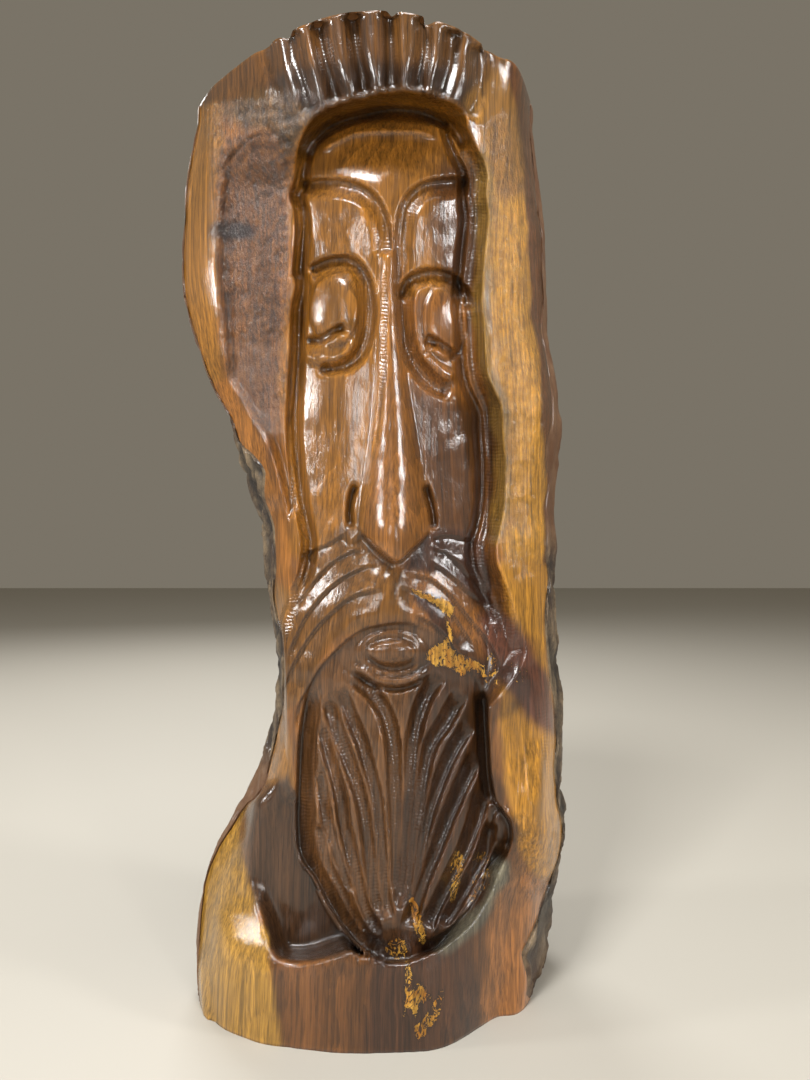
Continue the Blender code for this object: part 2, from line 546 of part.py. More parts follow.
def cut_recess(surface):
    # the face stands in a recess: a steep wall on the left, a cove on the right, a groove round its foot
    inside = surface.depth_inside(RECESS_OUTLINE)
    turn = smooth((surface.across - FACE_CENTRE + 3.0) / 25.0)
    wall = RIM_WALL + (PANEL_WALL - RIM_WALL) * turn
    wall += CREST_WALL * smooth((surface.height - CREST_WALL_START) / 15.0) * (1.0 - turn)
    groove = np.clip(1.0 - ((inside - wall) / (RECESS_GROOVE / 2) - 1.0) ** 2, 0.0, 1.0)
    fade = smooth((surface.height - GROOVE_START) / GROOVE_FADE)
    face = face_form(surface) - RECESS_GROOVE_DEPTH * groove * fade
    drop = 1.0 - (1.0 - np.clip(inside / wall, 0.0, 1.0)) ** 1.7
    surface.lift += (face - surface.lift) * drop * (inside > 0)


def cut_brow_and_eyes(surface):
    surface.gouge(BROW_ARCH, ARCH_WIDTH, ARCH_DEPTH, fade=0.05)
    surface.step_down(FOREHEAD_EDGE[::-1], -FOREHEAD_RISE, FOREHEAD_REACH)
    for lean, points in BROWS:
        surface.gouge(points, BROW_WIDTH, BROW_DEPTH, fade=0.05, lean=lean)
    for lean, points in SOCKETS:
        surface.gouge(points, SOCKET_WIDTH, SOCKET_DEPTH, fade=0.06, lean=lean)
    for x, z, half_width, half_height in EYELIDS:
        surface.dome(x, z, half_width, half_height, LID_HEIGHT)
    for points in EYE_SLITS:
        surface.gouge(points, SLIT_WIDTH, SLIT_DEPTH, fade=0.1, lean=0.5)
    for x, z in EYE_PITS:
        surface.dome(x, z, PIT_WIDTH, PIT_HEIGHT, -PIT_DEPTH)
    for points in LOWER_LIDS:
        surface.gouge(points, LOWER_LID_WIDTH, -LOWER_LID_HEIGHT, fade=0.15)


def raise_nose(surface):
    height = surface.height
    rise = table(NOSE_FORM, 1, height)
    half = np.maximum(table(NOSE_FORM, 2, height), 1.0)
    centre = table(NOSE_FORM, 3, height)
    base_line = flow(NOSE_BASE)
    base = np.interp(surface.across, base_line[:, 0], base_line[:, 1])
    spread = np.clip(np.abs(surface.across - centre) / half, 0.0, 1.0)
    above = smooth((height - base) / 2.0) * (height < NOSE_FORM[-1][0])
    surface.lift += rise * (1.0 - spread ** 1.8) * above
    for points in NOSTRILS:
        surface.gouge(points, NOSTRIL_WIDTH, NOSTRIL_DEPTH, fade=0.12)


def cut_moustache(surface):
    for points in MOUSTACHE:
        on_right = points[0][0] > FACE_CENTRE
        surface.step_down(points if on_right else points[::-1], STRAND_DROP, STRAND_REACH)


def carve_beard(surface):
    # long round channels that meet in thin ridges, cut into a body sunk below the face
    inside = surface.depth_inside(BEARD_OUTLINE)
    body = smooth(inside / BEARD_EDGE)
    surface.lift += (face_form(surface) - BEARD_SINK - surface.lift) * body
    level = surface.lift.copy()
    for half_width, points in BEARD_LOCKS:
        rows, distance, along, _ = surface.near(flow(points), half_width)
        hollow = np.sqrt(np.clip(1.0 - (distance / half_width) ** 2, 0.0, 1.0))
        ends = smooth(np.minimum(along, 1.0 - along) / 0.1)
        floor = level[rows] - LOCK_DEPTH * half_width / LOCK_HALF_WIDTH * hollow * ends * body[rows]
        surface.lift[rows] = np.minimum(surface.lift[rows], floor)
    for x, z, half_width, half_height, rise in MOUTH:
        surface.dome(x, z, half_width, half_height, rise)
    for depth, points in LIP_LINES:
        surface.gouge(points, LIP_LINE_WIDTH, depth, fade=0.25)
    surface.gouge(CHIN_FOLD, CHIN_WIDTH, -CHIN_RISE, fade=0.15)
    x, z, radius = KNOT
    surface.dome(x, z, radius, 1.5 * radius, KNOT_RISE)


def raise_bark(surface, share):
    for points in (BARK_LEFT, BARK_RIGHT):
        edge = smooth(surface.depth_inside(points) / BARK_EDGE)
        skin = edge * smooth(np.minimum(share, 1.0 - share) / OUTLINE_FADE)
        surface.lift += skin * (BARK_LIFT + bark_relief(surface.across / 30.0, surface.height))


def carved_front():
    share, rise, across, height = front_grid()
    surface = Surface(across, height)
    surface.lift = uncarved(share, rise).ravel()
    cut_flutes(surface)
    scoop_hollows(surface)
    cut_recess(surface)
    cut_brow_and_eyes(surface)
    raise_nose(surface)
    cut_moustache(surface)
    carve_beard(surface)
    raise_bark(surface, share.ravel())
    lift = surface.lift.reshape(across.shape)
    lift[1:-1] = (lift[:-2] + 2.0 * lift[1:-1] + lift[2:]) / 4.0
    lift[:, 1:-1] = (lift[:, :-2] + 2.0 * lift[:, 1:-1] + lift[:, 2:]) / 4.0
    nearer = 1.0 - lift / SIGHT_DISTANCE
    x = EYE_OFFSET + nearer * across
    y = -lift
    z = EYE_HEIGHT + nearer * (height - EYE_HEIGHT)
    from_top = np.arange(ROWS, -1, -1)[:, None]
    z = np.clip(z, ROW_GAP * from_top[::-1] - SAW_WASTE, DRAWN_HEIGHT + SAW_WASTE - ROW_GAP * from_top)
    return np.stack([x, y, z], axis=-1)


def bark_back(front):
    # from the right edge of each row round the back to the left edge
    right, left = front[:, -1], front[:, 0]
    turn = np.linspace(0.0, math.pi, BACK_COLUMNS + 1)[1:-1][None, :]
    middle = (right + left)[:, None] / 2
    half = (right - left)[:, None] / 2
    depth = BACK_DEPTH / HEIGHT * DRAWN_HEIGHT * (0.55 + 0.45 * half[..., 0] / half[..., 0].max())
    back = middle + half * np.cos(turn)[..., None]
    back[..., 1] += depth * np.sin(turn) ** 0.85
    skin = bark_relief(turn, back[..., 2]) * np.sin(turn) ** 0.5
    back[..., 0] += skin * np.cos(turn)
    back[..., 1] += skin * np.sin(turn)
    back[0, :, 2], back[-1, :, 2] = -SAW_WASTE, DRAWN_HEIGHT + SAW_WASTE
    return back


def log_mesh():
    front = carved_front()
    rings = np.concatenate([front, bark_back(front)], axis=1)
    rows, around = rings.shape[:2]
    points = rings.reshape(-1, 3) * (HEIGHT / DRAWN_HEIGHT)
    low, high = points.min(axis=0), points.max(axis=0)
    points -= [(low[0] + high[0]) / 2, (low[1] + high[1]) / 2, 0.0]

    index = np.arange(rows * around).reshape(rows, around)
    following = np.roll(index, -1, axis=1)
    faces = np.stack([index[:-1], following[:-1], following[1:], index[1:]], axis=-1).reshape(-1, 4).tolist()
    foot, top = len(points), len(points) + 1
    points = np.vstack([points, points[index[0]].mean(axis=0), points[index[-1]].mean(axis=0)])
    for place in range(around):
        faces.append((foot, int(following[0, place]), int(index[0, place])))
        faces.append((top, int(index[-1, place]), int(following[-1, place])))
    mesh = bpy.data.meshes.new("carved_log")
    mesh.from_pydata(points.tolist(), [], faces)
    mesh.update()
    return mesh


def wood_material():
    material = bpy.data.materials.new("varnished_wood")
    material.use_nodes = True
    shader = material.node_tree.nodes["Principled BSDF"]
    shader.inputs["Base Color"].default_value = WOOD_COLOUR
    shader.inputs["Roughness"].default_value = WOOD_ROUGHNESS
    return material


def clear_scene():
    for item in list(bpy.data.objects):
        bpy.data.objects.remove(item, do_unlink=True)


def saw_block():
    # what is left between the two saw cuts
    mesh = bpy.data.meshes.new("saw_block")
    block = bmesh.new()
    bmesh.ops.create_cube(block, size=1.0)
    bmesh.ops.scale(block, vec=(SAW_REACH, SAW_REACH, HEIGHT), verts=block.verts)
    bmesh.ops.translate(block, vec=(0.0, 0.0, HEIGHT / 2), verts=block.verts)
    block.to_mesh(mesh)
    block.free()
    cutter = bpy.data.objects.new("saw_block", mesh)
    cutter.hide_render = True
    cutter.display_type = "WIRE"
    bpy.context.scene.collection.objects.link(cutter)
    return cutter


def main():
    clear_scene()
    log = bpy.data.objects.new("carved_log", log_mesh())
    bpy.context.scene.collection.objects.link(log)
    log.data.materials.append(wood_material())
    thin = log.modifiers.new("facets", "DECIMATE")
    thin.ratio = FACET_SHARE
    saw = log.modifiers.new("saw cuts", "BOOLEAN")
    saw.operation = "INTERSECT"
    saw.solver = "EXACT"
    saw.object = saw_block()


main()
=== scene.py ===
import math
import bpy
import numpy as np
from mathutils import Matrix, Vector


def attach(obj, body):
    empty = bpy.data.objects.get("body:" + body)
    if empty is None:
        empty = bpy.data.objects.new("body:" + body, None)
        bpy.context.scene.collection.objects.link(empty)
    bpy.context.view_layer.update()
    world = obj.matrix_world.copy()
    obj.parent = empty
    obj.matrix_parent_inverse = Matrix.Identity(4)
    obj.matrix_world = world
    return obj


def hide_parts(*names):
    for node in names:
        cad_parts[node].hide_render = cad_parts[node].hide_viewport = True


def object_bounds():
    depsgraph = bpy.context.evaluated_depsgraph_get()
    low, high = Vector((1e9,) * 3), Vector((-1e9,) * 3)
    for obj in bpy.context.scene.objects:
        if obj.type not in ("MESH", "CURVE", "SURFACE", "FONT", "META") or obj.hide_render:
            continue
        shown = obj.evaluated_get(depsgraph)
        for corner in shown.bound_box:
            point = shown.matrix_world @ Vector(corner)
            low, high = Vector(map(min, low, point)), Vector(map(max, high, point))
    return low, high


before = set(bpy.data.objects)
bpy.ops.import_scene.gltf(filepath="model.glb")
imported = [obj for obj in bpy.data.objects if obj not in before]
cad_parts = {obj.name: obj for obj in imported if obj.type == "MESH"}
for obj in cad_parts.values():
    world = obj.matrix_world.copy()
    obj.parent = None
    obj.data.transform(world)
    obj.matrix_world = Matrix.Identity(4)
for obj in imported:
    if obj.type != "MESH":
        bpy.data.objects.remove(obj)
cadBox = [list(corner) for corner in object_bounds()]


def pairs(*numbers):    # rows of two: places across and height, or a table of two columns
    return list(zip(numbers[::2], numbers[1::2]))


# The carving is drawn in millimetres on a pattern plane through a log 400 mm tall, seen from the carver's
# eye. Each place on the plane is cut forward or back along its sight line, so walls open to the eye.
drawnHeight = 400.0
sightDistance = 340.0
eyeHeight = 200.0
eyeOffset = 12.0
patternScale = (cadBox[1][2] - cadBox[0][2]) / drawnHeight    # metres in one pattern millimetre
backDepth = 60.0
logCentre = np.array([-2.2, 30.8, 0.0]) * patternScale    # the place in the log that stands over the origin
# Plan of the front at the sawn top and at the underside: place across, and lift above the pattern plane
topPlan = pairs(-86.8, -35.5, -82, -21, -75.5, -9.6, -62.9, 7, -53.2, 17, -41.5, 25.5, -29.8, 31,
    -14.7, 33.5, 0.4, 32.5, 14.7, 27, 26, 20, 37.7, 5.6, 49.5, -11.8, 53.7, -37.2)
footPlan = pairs(-87.2, -20.4, -85.9, -8.8, -79.6, 3.5, -65, 15.6, -44, 21.3, -6.3, 23.8, 18.9, 18.8,
    37.7, 0.7, 52.4, -12.6, 58.7, -41.6)

# Outlines of the log on the pattern plane, from the foot up: place across, and height above the bench
leftOutline = pairs(-87.2, 13.4, -88, 23.9, -87.2, 36.5, -84.7, 57.5, -79.7, 72.1, -69.2, 91,
    -62.9, 103.6, -58.7, 116.2, -55.8, 128.7, -55.3, 153.9, -56.6, 170.7, -59.5, 187.4, -61.6, 208.4,
    -65, 218.9, -71.3, 237.7, -74.2, 251.1, -78.4, 259.5, -83.8, 271.3, -90.1, 290.1, -93.1, 304.8,
    -93.5, 321.6, -92.2, 346.7, -87.6, 371.9, -86.8, 381.1)
rightOutline = pairs(58.7, 21.8, 62, 36.5, 65, 61.7, 68.3, 74.2, 68.3, 86.8, 66.2, 99.4, 66.7, 132.9,
    65, 153.9, 63.7, 166.5, 63.3, 187.4, 64.1, 200, 63.3, 216.8, 65.8, 246.1, 63.3, 267.1, 60.4, 283.8,
    60, 300.6, 59.1, 325.8, 56.6, 346.7, 54.5, 363.5, 53.7, 380.3)

# Lift of the uncarved front at these shares of its width, for sections at shares of the rise from foot to top
sectionShares = [0.0, 0.06, 0.15, 0.3, 0.5, 0.7, 0.85, 0.94, 1.0]
sections = [
    (0.09, [-26, -2, 12, 20, 22, 18, 2, -12, -40]),
    (0.13, [-29, -10, 4, 14, 18, 14, 3, -12, -37]),
    (0.19, [-30, -10, 2, 8, 12, 11, 8, 1, -31]),
    (0.30, [-30, -4, 4, 9, 13, 10, 5, -5, -31]),
    (0.41, [-30, -3, 7, 11, 14, 12, 5, -7, -31]),
    (0.53, [-32, -10, 5, 8, 10, 10, 1, -8, -31]),
    (0.63, [-32, -12, 0, 6, 10, 10, 2, -7, -31]),
    (0.735, [-33, -17, -5, 9, 10, 10, 3, -7, -31]),
    (0.86, [-33, -18, -5, 10, 18, 14, 5, -8, -32]),
    (0.93, [-36, -17, 1, 20, 31, 26, 8, -8, -36]),
]

# The face stands in a recess with this edge, under the crest
recessEdge = pairs(-6.7, 388.2, -17.6, 385.7, -28.5, 382.8, -37.3, 378.2, -42.8, 370.6, -45.7, 361.4,
    -47, 350.9, -48.6, 344.6, -47, 337.5, -46.5, 329.1, -47.8, 313.2, -46.5, 306.9, -48.2, 296.4,
    -48.6, 279.7, -49.5, 265, -50.3, 250.3, -49.5, 233.5, -47.4, 216.8, -44.4, 202.1, -44, 195.8,
    -45.3, 187, -48.6, 178.2, -52, 168.6, -52.8, 158.1, -52, 141.3, -51.1, 124.5, -49.9, 109.9,
    -47.4, 99.4, -44.9, 96, -31.4, 107.8, -2.1, 116.2, 27.3, 124.5, 41.9, 137.1, 51.1, 151.8, 49.1, 161.4,
    45.7, 172.7, 41.9, 183.2, 38.6, 190.8, 38.2, 197.5, 39.8, 202.9, 41.9, 215.1, 42.3, 231, 41.5, 243.2,
    40.7, 254.9, 38.2, 261.6, 35.2, 268.3, 34, 276.3, 33.1, 292.2, 32.3, 300.2, 33.5, 316.5, 34.8, 328.3,
    35.2, 336.3, 34.4, 344.2, 34.8, 352.6, 33.1, 359.3, 29.8, 365.6, 26.8, 372.7, 25.2, 379.4, 17.6, 384.9,
    6.3, 388.2)
# Lift of the face down its middle and along its edge: height above the bench, lift
faceMiddle = pairs(28, 13, 49, 16, 91, 17, 124, 16, 154, 15, 175, 17, 200, 13, 238, 10, 284, 9, 317, 10,
    340, 12.5, 352, 12, 360, 9.5, 368, 6.5, 372, 5.5)
faceEdge = pairs(28, 4, 91, 3, 124, 3, 154, 4, 175, 2, 200, -2, 238, -5, 284, -6, 317, -5, 352, -1, 372, 2)
faceCentre = -8.0
faceHalfWidth = 37.0

archLine = pairs(-44, 359.3, -39, 366.9, -31.4, 373.1, -22.2, 376.9, -8.4, 379, 6.3, 378.2,
    16.8, 375.2, 23.1, 370.2, 26, 363.5)
foreheadEdge = pairs(-36.5, 363.5, -27.3, 369, -19.7, 371.9, -7.5, 372.7, 5.5, 372.3, 14.7, 369.4)
browLines = [
    pairs(-44, 346.7, -33.5, 347.6, -23.9, 346.7, -16.4, 343.4, -11.7, 336.7, -9.2, 327.9, -8.8, 319.1),
    pairs(28.1, 348.4, 18.9, 348, 9.6, 346.7, 3.8, 342.5, 0.8, 335, -0.4, 325.8, -0.4, 316.5,
        -0.8, 308.2, -0.8, 299.8),
]
socketLines = [
    pairs(-40.7, 309.8, -34.8, 313.6, -27.3, 315.7, -21.4, 314, -17.2, 307.3, -15.9, 298.1, -16.4, 288,
        -18.9, 279.7, -23.9, 274.6, -30.6, 272.9, -36.5, 273.8),
    pairs(26.4, 294.7, 23.1, 303.1, 18, 308.6, 10.5, 310.3, 2.9, 307.3, 0, 298.9, 0.4, 288,
        2.5, 278.8, 6.3, 271.3, 12.2, 265.4, 20.5, 262),
]
eyelids = [(-30.0, 296.5, 10.5, 15.5), (16.6, 292.0, 9.5, 16.0)]    # place, half width, half height
eyeSlits = [
    pairs(-42.3, 283, -37.3, 283, -32.3, 285.1, -28.1, 288, -24.7, 288.9),
    pairs(8, 284.7, 12.2, 283, 17.2, 279.7, 22.2, 276.3),
]
eyePits = [(-26.0, 288.0), (10.9, 281.8)]
lowerLids = [
    pairs(-42.8, 278.8, -36.5, 275.5, -29.8, 275, -23.9, 278.8, -20.5, 284.7),
    pairs(8, 278.8, 11.3, 274.6, 16.4, 270.4, 21.4, 267.9),
]
# The nose from its tip up: height above the bench, lift over the face, half width, place of its middle
noseForm = [
    (186, 9.0, 12.0, -3.6), (194, 12.5, 14.0, -4.0), (203, 14.5, 15.0, -4.6), (213, 13.5, 14.6, -4.8),
    (228, 11.0, 12.5, -4.8), (245, 9.0, 10.0, -5.0), (270, 6.8, 7.0, -6.0), (295, 5.0, 5.0, -6.6),
    (315, 3.4, 3.6, -7.0), (330, 0.0, 3.0, -7.2),
]
noseFacet = pairs(-8, 316.5, -8.4, 300.6, -8.8, 283.8, -9.2, 269.6, -10.5, 254.5, -12.2, 237.7)
noseBase = pairs(-21.4, 206.7, -16.4, 200, -10.1, 194.5, -3.4, 189.9, 2.9, 195, 8, 200, 12.2, 205.9)
nostrils = [
    pairs(-20.5, 223.5, -22.2, 218.4, -23.1, 211.7, -22.6, 205),
    pairs(8, 223.5, 10.1, 217.6, 11.7, 210.9, 12.2, 204.2),
]
moustacheLines = [
    pairs(-44.9, 193.3, -39, 195.8, -33.1, 198.3, -28.5, 200.8, -24.7, 203.4),
    pairs(-46.5, 172.3, -42.3, 177.4, -37.3, 184.1, -33.1, 188.7, -28.1, 192.5, -22.2, 195.4, -15.5, 195.8),
    pairs(-50.7, 148, -47.4, 156.4, -42.8, 166.5, -37.3, 174, -31, 180.7, -23.9, 185.7, -17.2, 188.7,
        -9.6, 189.5),
    pairs(-52.4, 132.1, -48.6, 144.7, -43.2, 155.1, -36.9, 163.9, -29.8, 171.1, -23.1, 176.1, -15.9, 178.6,
        -7.1, 179.5),
    pairs(-47.4, 120.3, -44.9, 130.8, -39.8, 139.6, -34.4, 147.2, -28.9, 153.9, -23.1, 159.3, -16.8, 162.7,
        -9.6, 164.4, -0.4, 165.2),
    pairs(-18.4, 203.8, -13.8, 197.5, -8.8, 192.5, -3.4, 188.7),
    pairs(29.8, 199.6, 23.1, 201.3, 17.2, 202.1, 10.5, 200.8),
    pairs(38.6, 169.8, 32.3, 179.9, 27.3, 184.9, 22.2, 190.8, 17.2, 195, 10.5, 197.5),
    pairs(39.8, 164.4, 33.1, 173.6, 28.1, 177.4, 21.4, 183.2, 16.4, 187.4, 10.5, 191.6),
    pairs(42.3, 143, 35.6, 156.8, 27.3, 167.3, 21.4, 174.8, 15.9, 179.9, 9.6, 184.1, -2.1, 187),
    pairs(30.6, 153, 21.4, 167.3, 15.1, 172.7, 6.3, 177.8, -2.9, 181.6),
    pairs(27.3, 143, 19.7, 155.6, 16.4, 160.6, 10.5, 165.6, 2.9, 169.4),
]
beardEdge = pairs(-11.7, 164.8, -18.9, 162.3, -24.3, 158.1, -31, 153, -36.5, 146.8, -40.7, 139.2,
    -43.2, 130.8, -45.3, 116.2, -46.1, 97.7, -46.5, 83.5, -45.7, 70, -42.8, 63.3, -39, 58.3,
    -33.1, 47, -26.4, 36.5, -19.3, 28.5, -11.3, 23.5, -2.1, 22.2, 8.4, 25.2, 18.9, 30.2, 29.3, 38.6,
    37.3, 51.2, 41.1, 61.7, 44.9, 72.1, 45.3, 80.5, 41.9, 86.8, 38.6, 91, 36.5, 103.6, 35.6, 120.3,
    34.8, 132.9, 31.4, 141.3, 25.2, 149.7, 18, 158.1, 9.2, 163.5, -0.4, 166)
# The mound of the mouth and the parted lip on it, as place, half width, half height and rise, and the lines
# round it, as depth and points
lips = [(-5.5, 152.4, 15.5, 9.5, 2.4), (-5.6, 153.0, 10.0, 5.0, 2.4)]
lipLines = [
    (1.8, pairs(-17.2, 153.9, -14.7, 150.1, -10.1, 146.8, -4.2, 145.9, 1.7, 147.2, 6.3, 150.9)),
    (0.9, pairs(-16.4, 154.7, -12.2, 157.7, -5.9, 159.3, 0.8, 158.5, 6.3, 155.1)),
    (2.2, pairs(-25.2, 146.8, -20.5, 143.8, -15.5, 140.5, -9.6, 138, -2.9, 137.5, 3.8, 139.6,
        9.6, 143.8)),
]
chinFold = pairs(-23.1, 147.2, -16.4, 144.2, -10.5, 141.3, -2.5, 140.5, 4.6, 142.1, 10.5, 146.3)
# Channels of the beard: half width, points from the root down
beardLocks = [
    (3.9, pairs(-23.9, 144.2, -15.9, 138, -9.6, 130, -5.9, 119.5, -4.2, 103.6, -3.4, 83.5, -2.9, 65.8,
        -3.4, 47)),
    (3.4, pairs(-28.1, 139.6, -23.1, 127.1, -18, 114.9, -15.1, 103.6, -12.2, 91, -10.5, 74.2,
        -8.8, 53.3, -7.1, 38.6)),
    (3.8, pairs(-32.3, 137.1, -28.1, 119.1, -23.1, 105.7, -18.4, 93.5, -15.9, 81.4, -14.3, 67.9,
        -13, 54.9, -9.6, 38.6)),
    (3.4, pairs(-35.6, 126.6, -31, 109, -27.3, 94.8, -25.2, 81.4, -22.6, 67.9, -18.9, 54.9, -15.5, 43.6,
        -11.3, 33.1)),
    (3.0, pairs(-36.1, 105.7, -32.7, 83.5, -29.8, 71.3, -26, 60.8, -21.4, 49.1)),
    (3.2, pairs(-36.5, 82.6, -34.4, 71.7, -31.4, 62.5, -26, 52.8, -21, 41.9, -14.7, 32.3)),
    (5.4, pairs(-39, 141.3, -41.1, 120.3, -41.9, 103.6, -42.3, 83.5, -40.2, 68.4, -34.8, 57,
        -27.3, 43.6, -19.3, 32.7, -11.3, 26.9, -3.8, 25.2)),
    (3.8, pairs(14.7, 144.7, 8, 132.9, 4.2, 120.3, 2.5, 105.7, 1.7, 91, 0, 74.2, -1.3, 57.5,
        -2.1, 42.8)),
    (3.8, pairs(23.9, 137.1, 16.8, 123.7, 9.6, 112, 6.3, 95.2, 3.8, 78.4, 1.7, 61.7, 0, 47)),
    (3.4, pairs(27.3, 123.7, 19.7, 111.1, 13.8, 97.3, 9.6, 84.7, 6.3, 70, 2.9, 55.4, 0.4, 42.8)),
    (3.6, pairs(30.6, 111.1, 23.9, 97.3, 18.4, 84.7, 13.4, 72.1, 8.8, 60.8, 4.6, 49.1, 1.3, 36.5)),
    (3.4, pairs(33.1, 95.2, 28.9, 80.5, 23.9, 67.9, 18.4, 57.5, 13.4, 47, 8.4, 36.5)),
    (4.2, pairs(32.7, 137.1, 34, 117.8, 35.2, 103.6, 38.2, 88.5)),
    (3.2, pairs(36.1, 82.6, 33.1, 70, 27.3, 58.3, 21, 47, 14.7, 37.3)),
    (5.0, pairs(42.3, 71.7, 40.2, 65, 37.3, 54.9, 32.3, 44.9, 23.9, 35.7, 14.7, 29.4, 4.2, 26)),
]
knot = (41.2, 80.3, 5.0)    # the bump beside the beard: place and half width
coveEdge = pairs(-45.7, 95.2, -51.6, 100.2, -60, 97.7, -65.4, 92.7, -67.9, 84.7, -68.3, 73.4, -66.7, 61.7,
    -62.9, 50.3, -59.5, 39, -56.2, 28.5, -52.4, 23.9, -43.2, 22.7, -34, 24.3, -23.9, 27.3, -18, 25.2,
    -10.5, 28.1, -27.3, 57.5, -35.6, 82.6, -39, 95.2)
# Flutes of the crest, from the left: share of the full depth, points from the top down
crestFlutes = [
    (0.45, pairs(-58.7, 409.6, -55.8, 397, -51.1, 384.5, -48.2, 374)),
    (0.9, pairs(-48.2, 413.8, -45.3, 401.2, -41.5, 388.7, -39, 378.6)),
    (1.0, pairs(-36.5, 418, -34, 405.4, -30.6, 392.8, -28.1, 382.8)),
    (1.0, pairs(-22.2, 421.4, -20.5, 407.5, -18, 394.9, -16.4, 385.7)),
    (1.0, pairs(-6.7, 422.2, -6.3, 407.5, -5.9, 397, -5.9, 387.8)),
    (1.0, pairs(8.4, 419.7, 8, 405.4, 6.3, 394.9, 5.5, 387.8)),
    (0.9, pairs(20.1, 414.6, 18.9, 401.2, 16.4, 392, 14.7, 385.3)),
    (0.8, pairs(30.6, 407.9, 31.9, 397, 30.2, 386.6, 26.4, 376.9)),
]
# A rough hollow beside the brow, inside the left rim
hollowEdge = pairs(-44, 384.5, -56.6, 384.5, -69.2, 376.1, -76.7, 363.5, -78, 349.7, -79.2, 332.5,
    -79.7, 315.3, -78.4, 296.4, -76.3, 278.4, -75, 267.1, -70, 259.5, -65, 251.1, -59.1, 242.3,
    -55.3, 231.4, -52.4, 219.3, -48.2, 208.4, -39.8, 225.2, -39.8, 300.6)
# Shallow flutes down the sapwood beside the beard
panelFlutes = [
    pairs(41.9, 137.1, 44.9, 120.3, 47, 103.6, 48.6, 86.8),
    pairs(48.2, 141.3, 51.6, 124.5, 53.7, 105.7, 54.9, 84.7),
    pairs(55.3, 137.1, 58.3, 120.3, 60.4, 103.6, 62, 91),
]


def smooth(value):
    value = np.clip(value, 0.0, 1.0)
    return value * value * (3.0 - 2.0 * value)


def readTable(rows, column, places):    # one column of a list against its first, eased between rows
    stations = np.array([row[0] for row in rows], float)
    values = np.array([row[column] for row in rows], float)
    slopes = np.gradient(values, stations)
    spot = np.clip(np.searchsorted(stations, places) - 1, 0, len(stations) - 2)
    span = stations[spot + 1] - stations[spot]
    u = np.clip((places - stations[spot]) / span, 0.0, 1.0)
    start = (1 + 2 * u) * (1 - u) ** 2 * values[spot] + u * (1 - u) ** 2 * span * slopes[spot]
    end = u * u * (3 - 2 * u) * values[spot + 1] + u * u * (u - 1) * span * slopes[spot + 1]
    return start + end


def readAt(table, places):    # a table of two columns with straight runs between its rows
    return np.interp(places, *zip(*table))


def flowLine(points, closed=False, steps=8):    # a smooth line through the points
    points = np.array(points, float)
    if closed:
        tangents = (np.roll(points, -1, axis=0) - np.roll(points, 1, axis=0)) / 2
        starts, ends = points, np.roll(points, -1, axis=0)
        first, last = tangents, np.roll(tangents, -1, axis=0)
    else:
        tangents = np.gradient(points, axis=0)
        starts, ends, first, last = points[:-1], points[1:], tangents[:-1], tangents[1:]
    u = (np.arange(steps) / steps)[None, :, None]
    blend = ((1 + 2 * u) * (1 - u) ** 2 * starts[:, None] + u * (1 - u) ** 2 * first[:, None]
             + u * u * (3 - 2 * u) * ends[:, None] + u * u * (u - 1) * last[:, None])
    return np.vstack([blend.reshape(-1, 2), points[:1] if closed else points[-1:]])


def unevenness(across, height, size, seed):    # smooth random swells of about this size, between -1 and 1
    lattice = np.random.default_rng(seed).uniform(-1.0, 1.0, (64, 64))
    x, z = across / size + 31.7, height / size + 17.3
    column, row = np.floor(x).astype(int), np.floor(z).astype(int)
    u, v = smooth(x - column), smooth(z - row)
    low = lattice[row % 64, column % 64] * (1 - u) + lattice[row % 64, (column + 1) % 64] * u
    high = lattice[(row + 1) % 64, column % 64] * (1 - u) + lattice[(row + 1) % 64, (column + 1) % 64] * u
    return low * (1 - v) + high * v


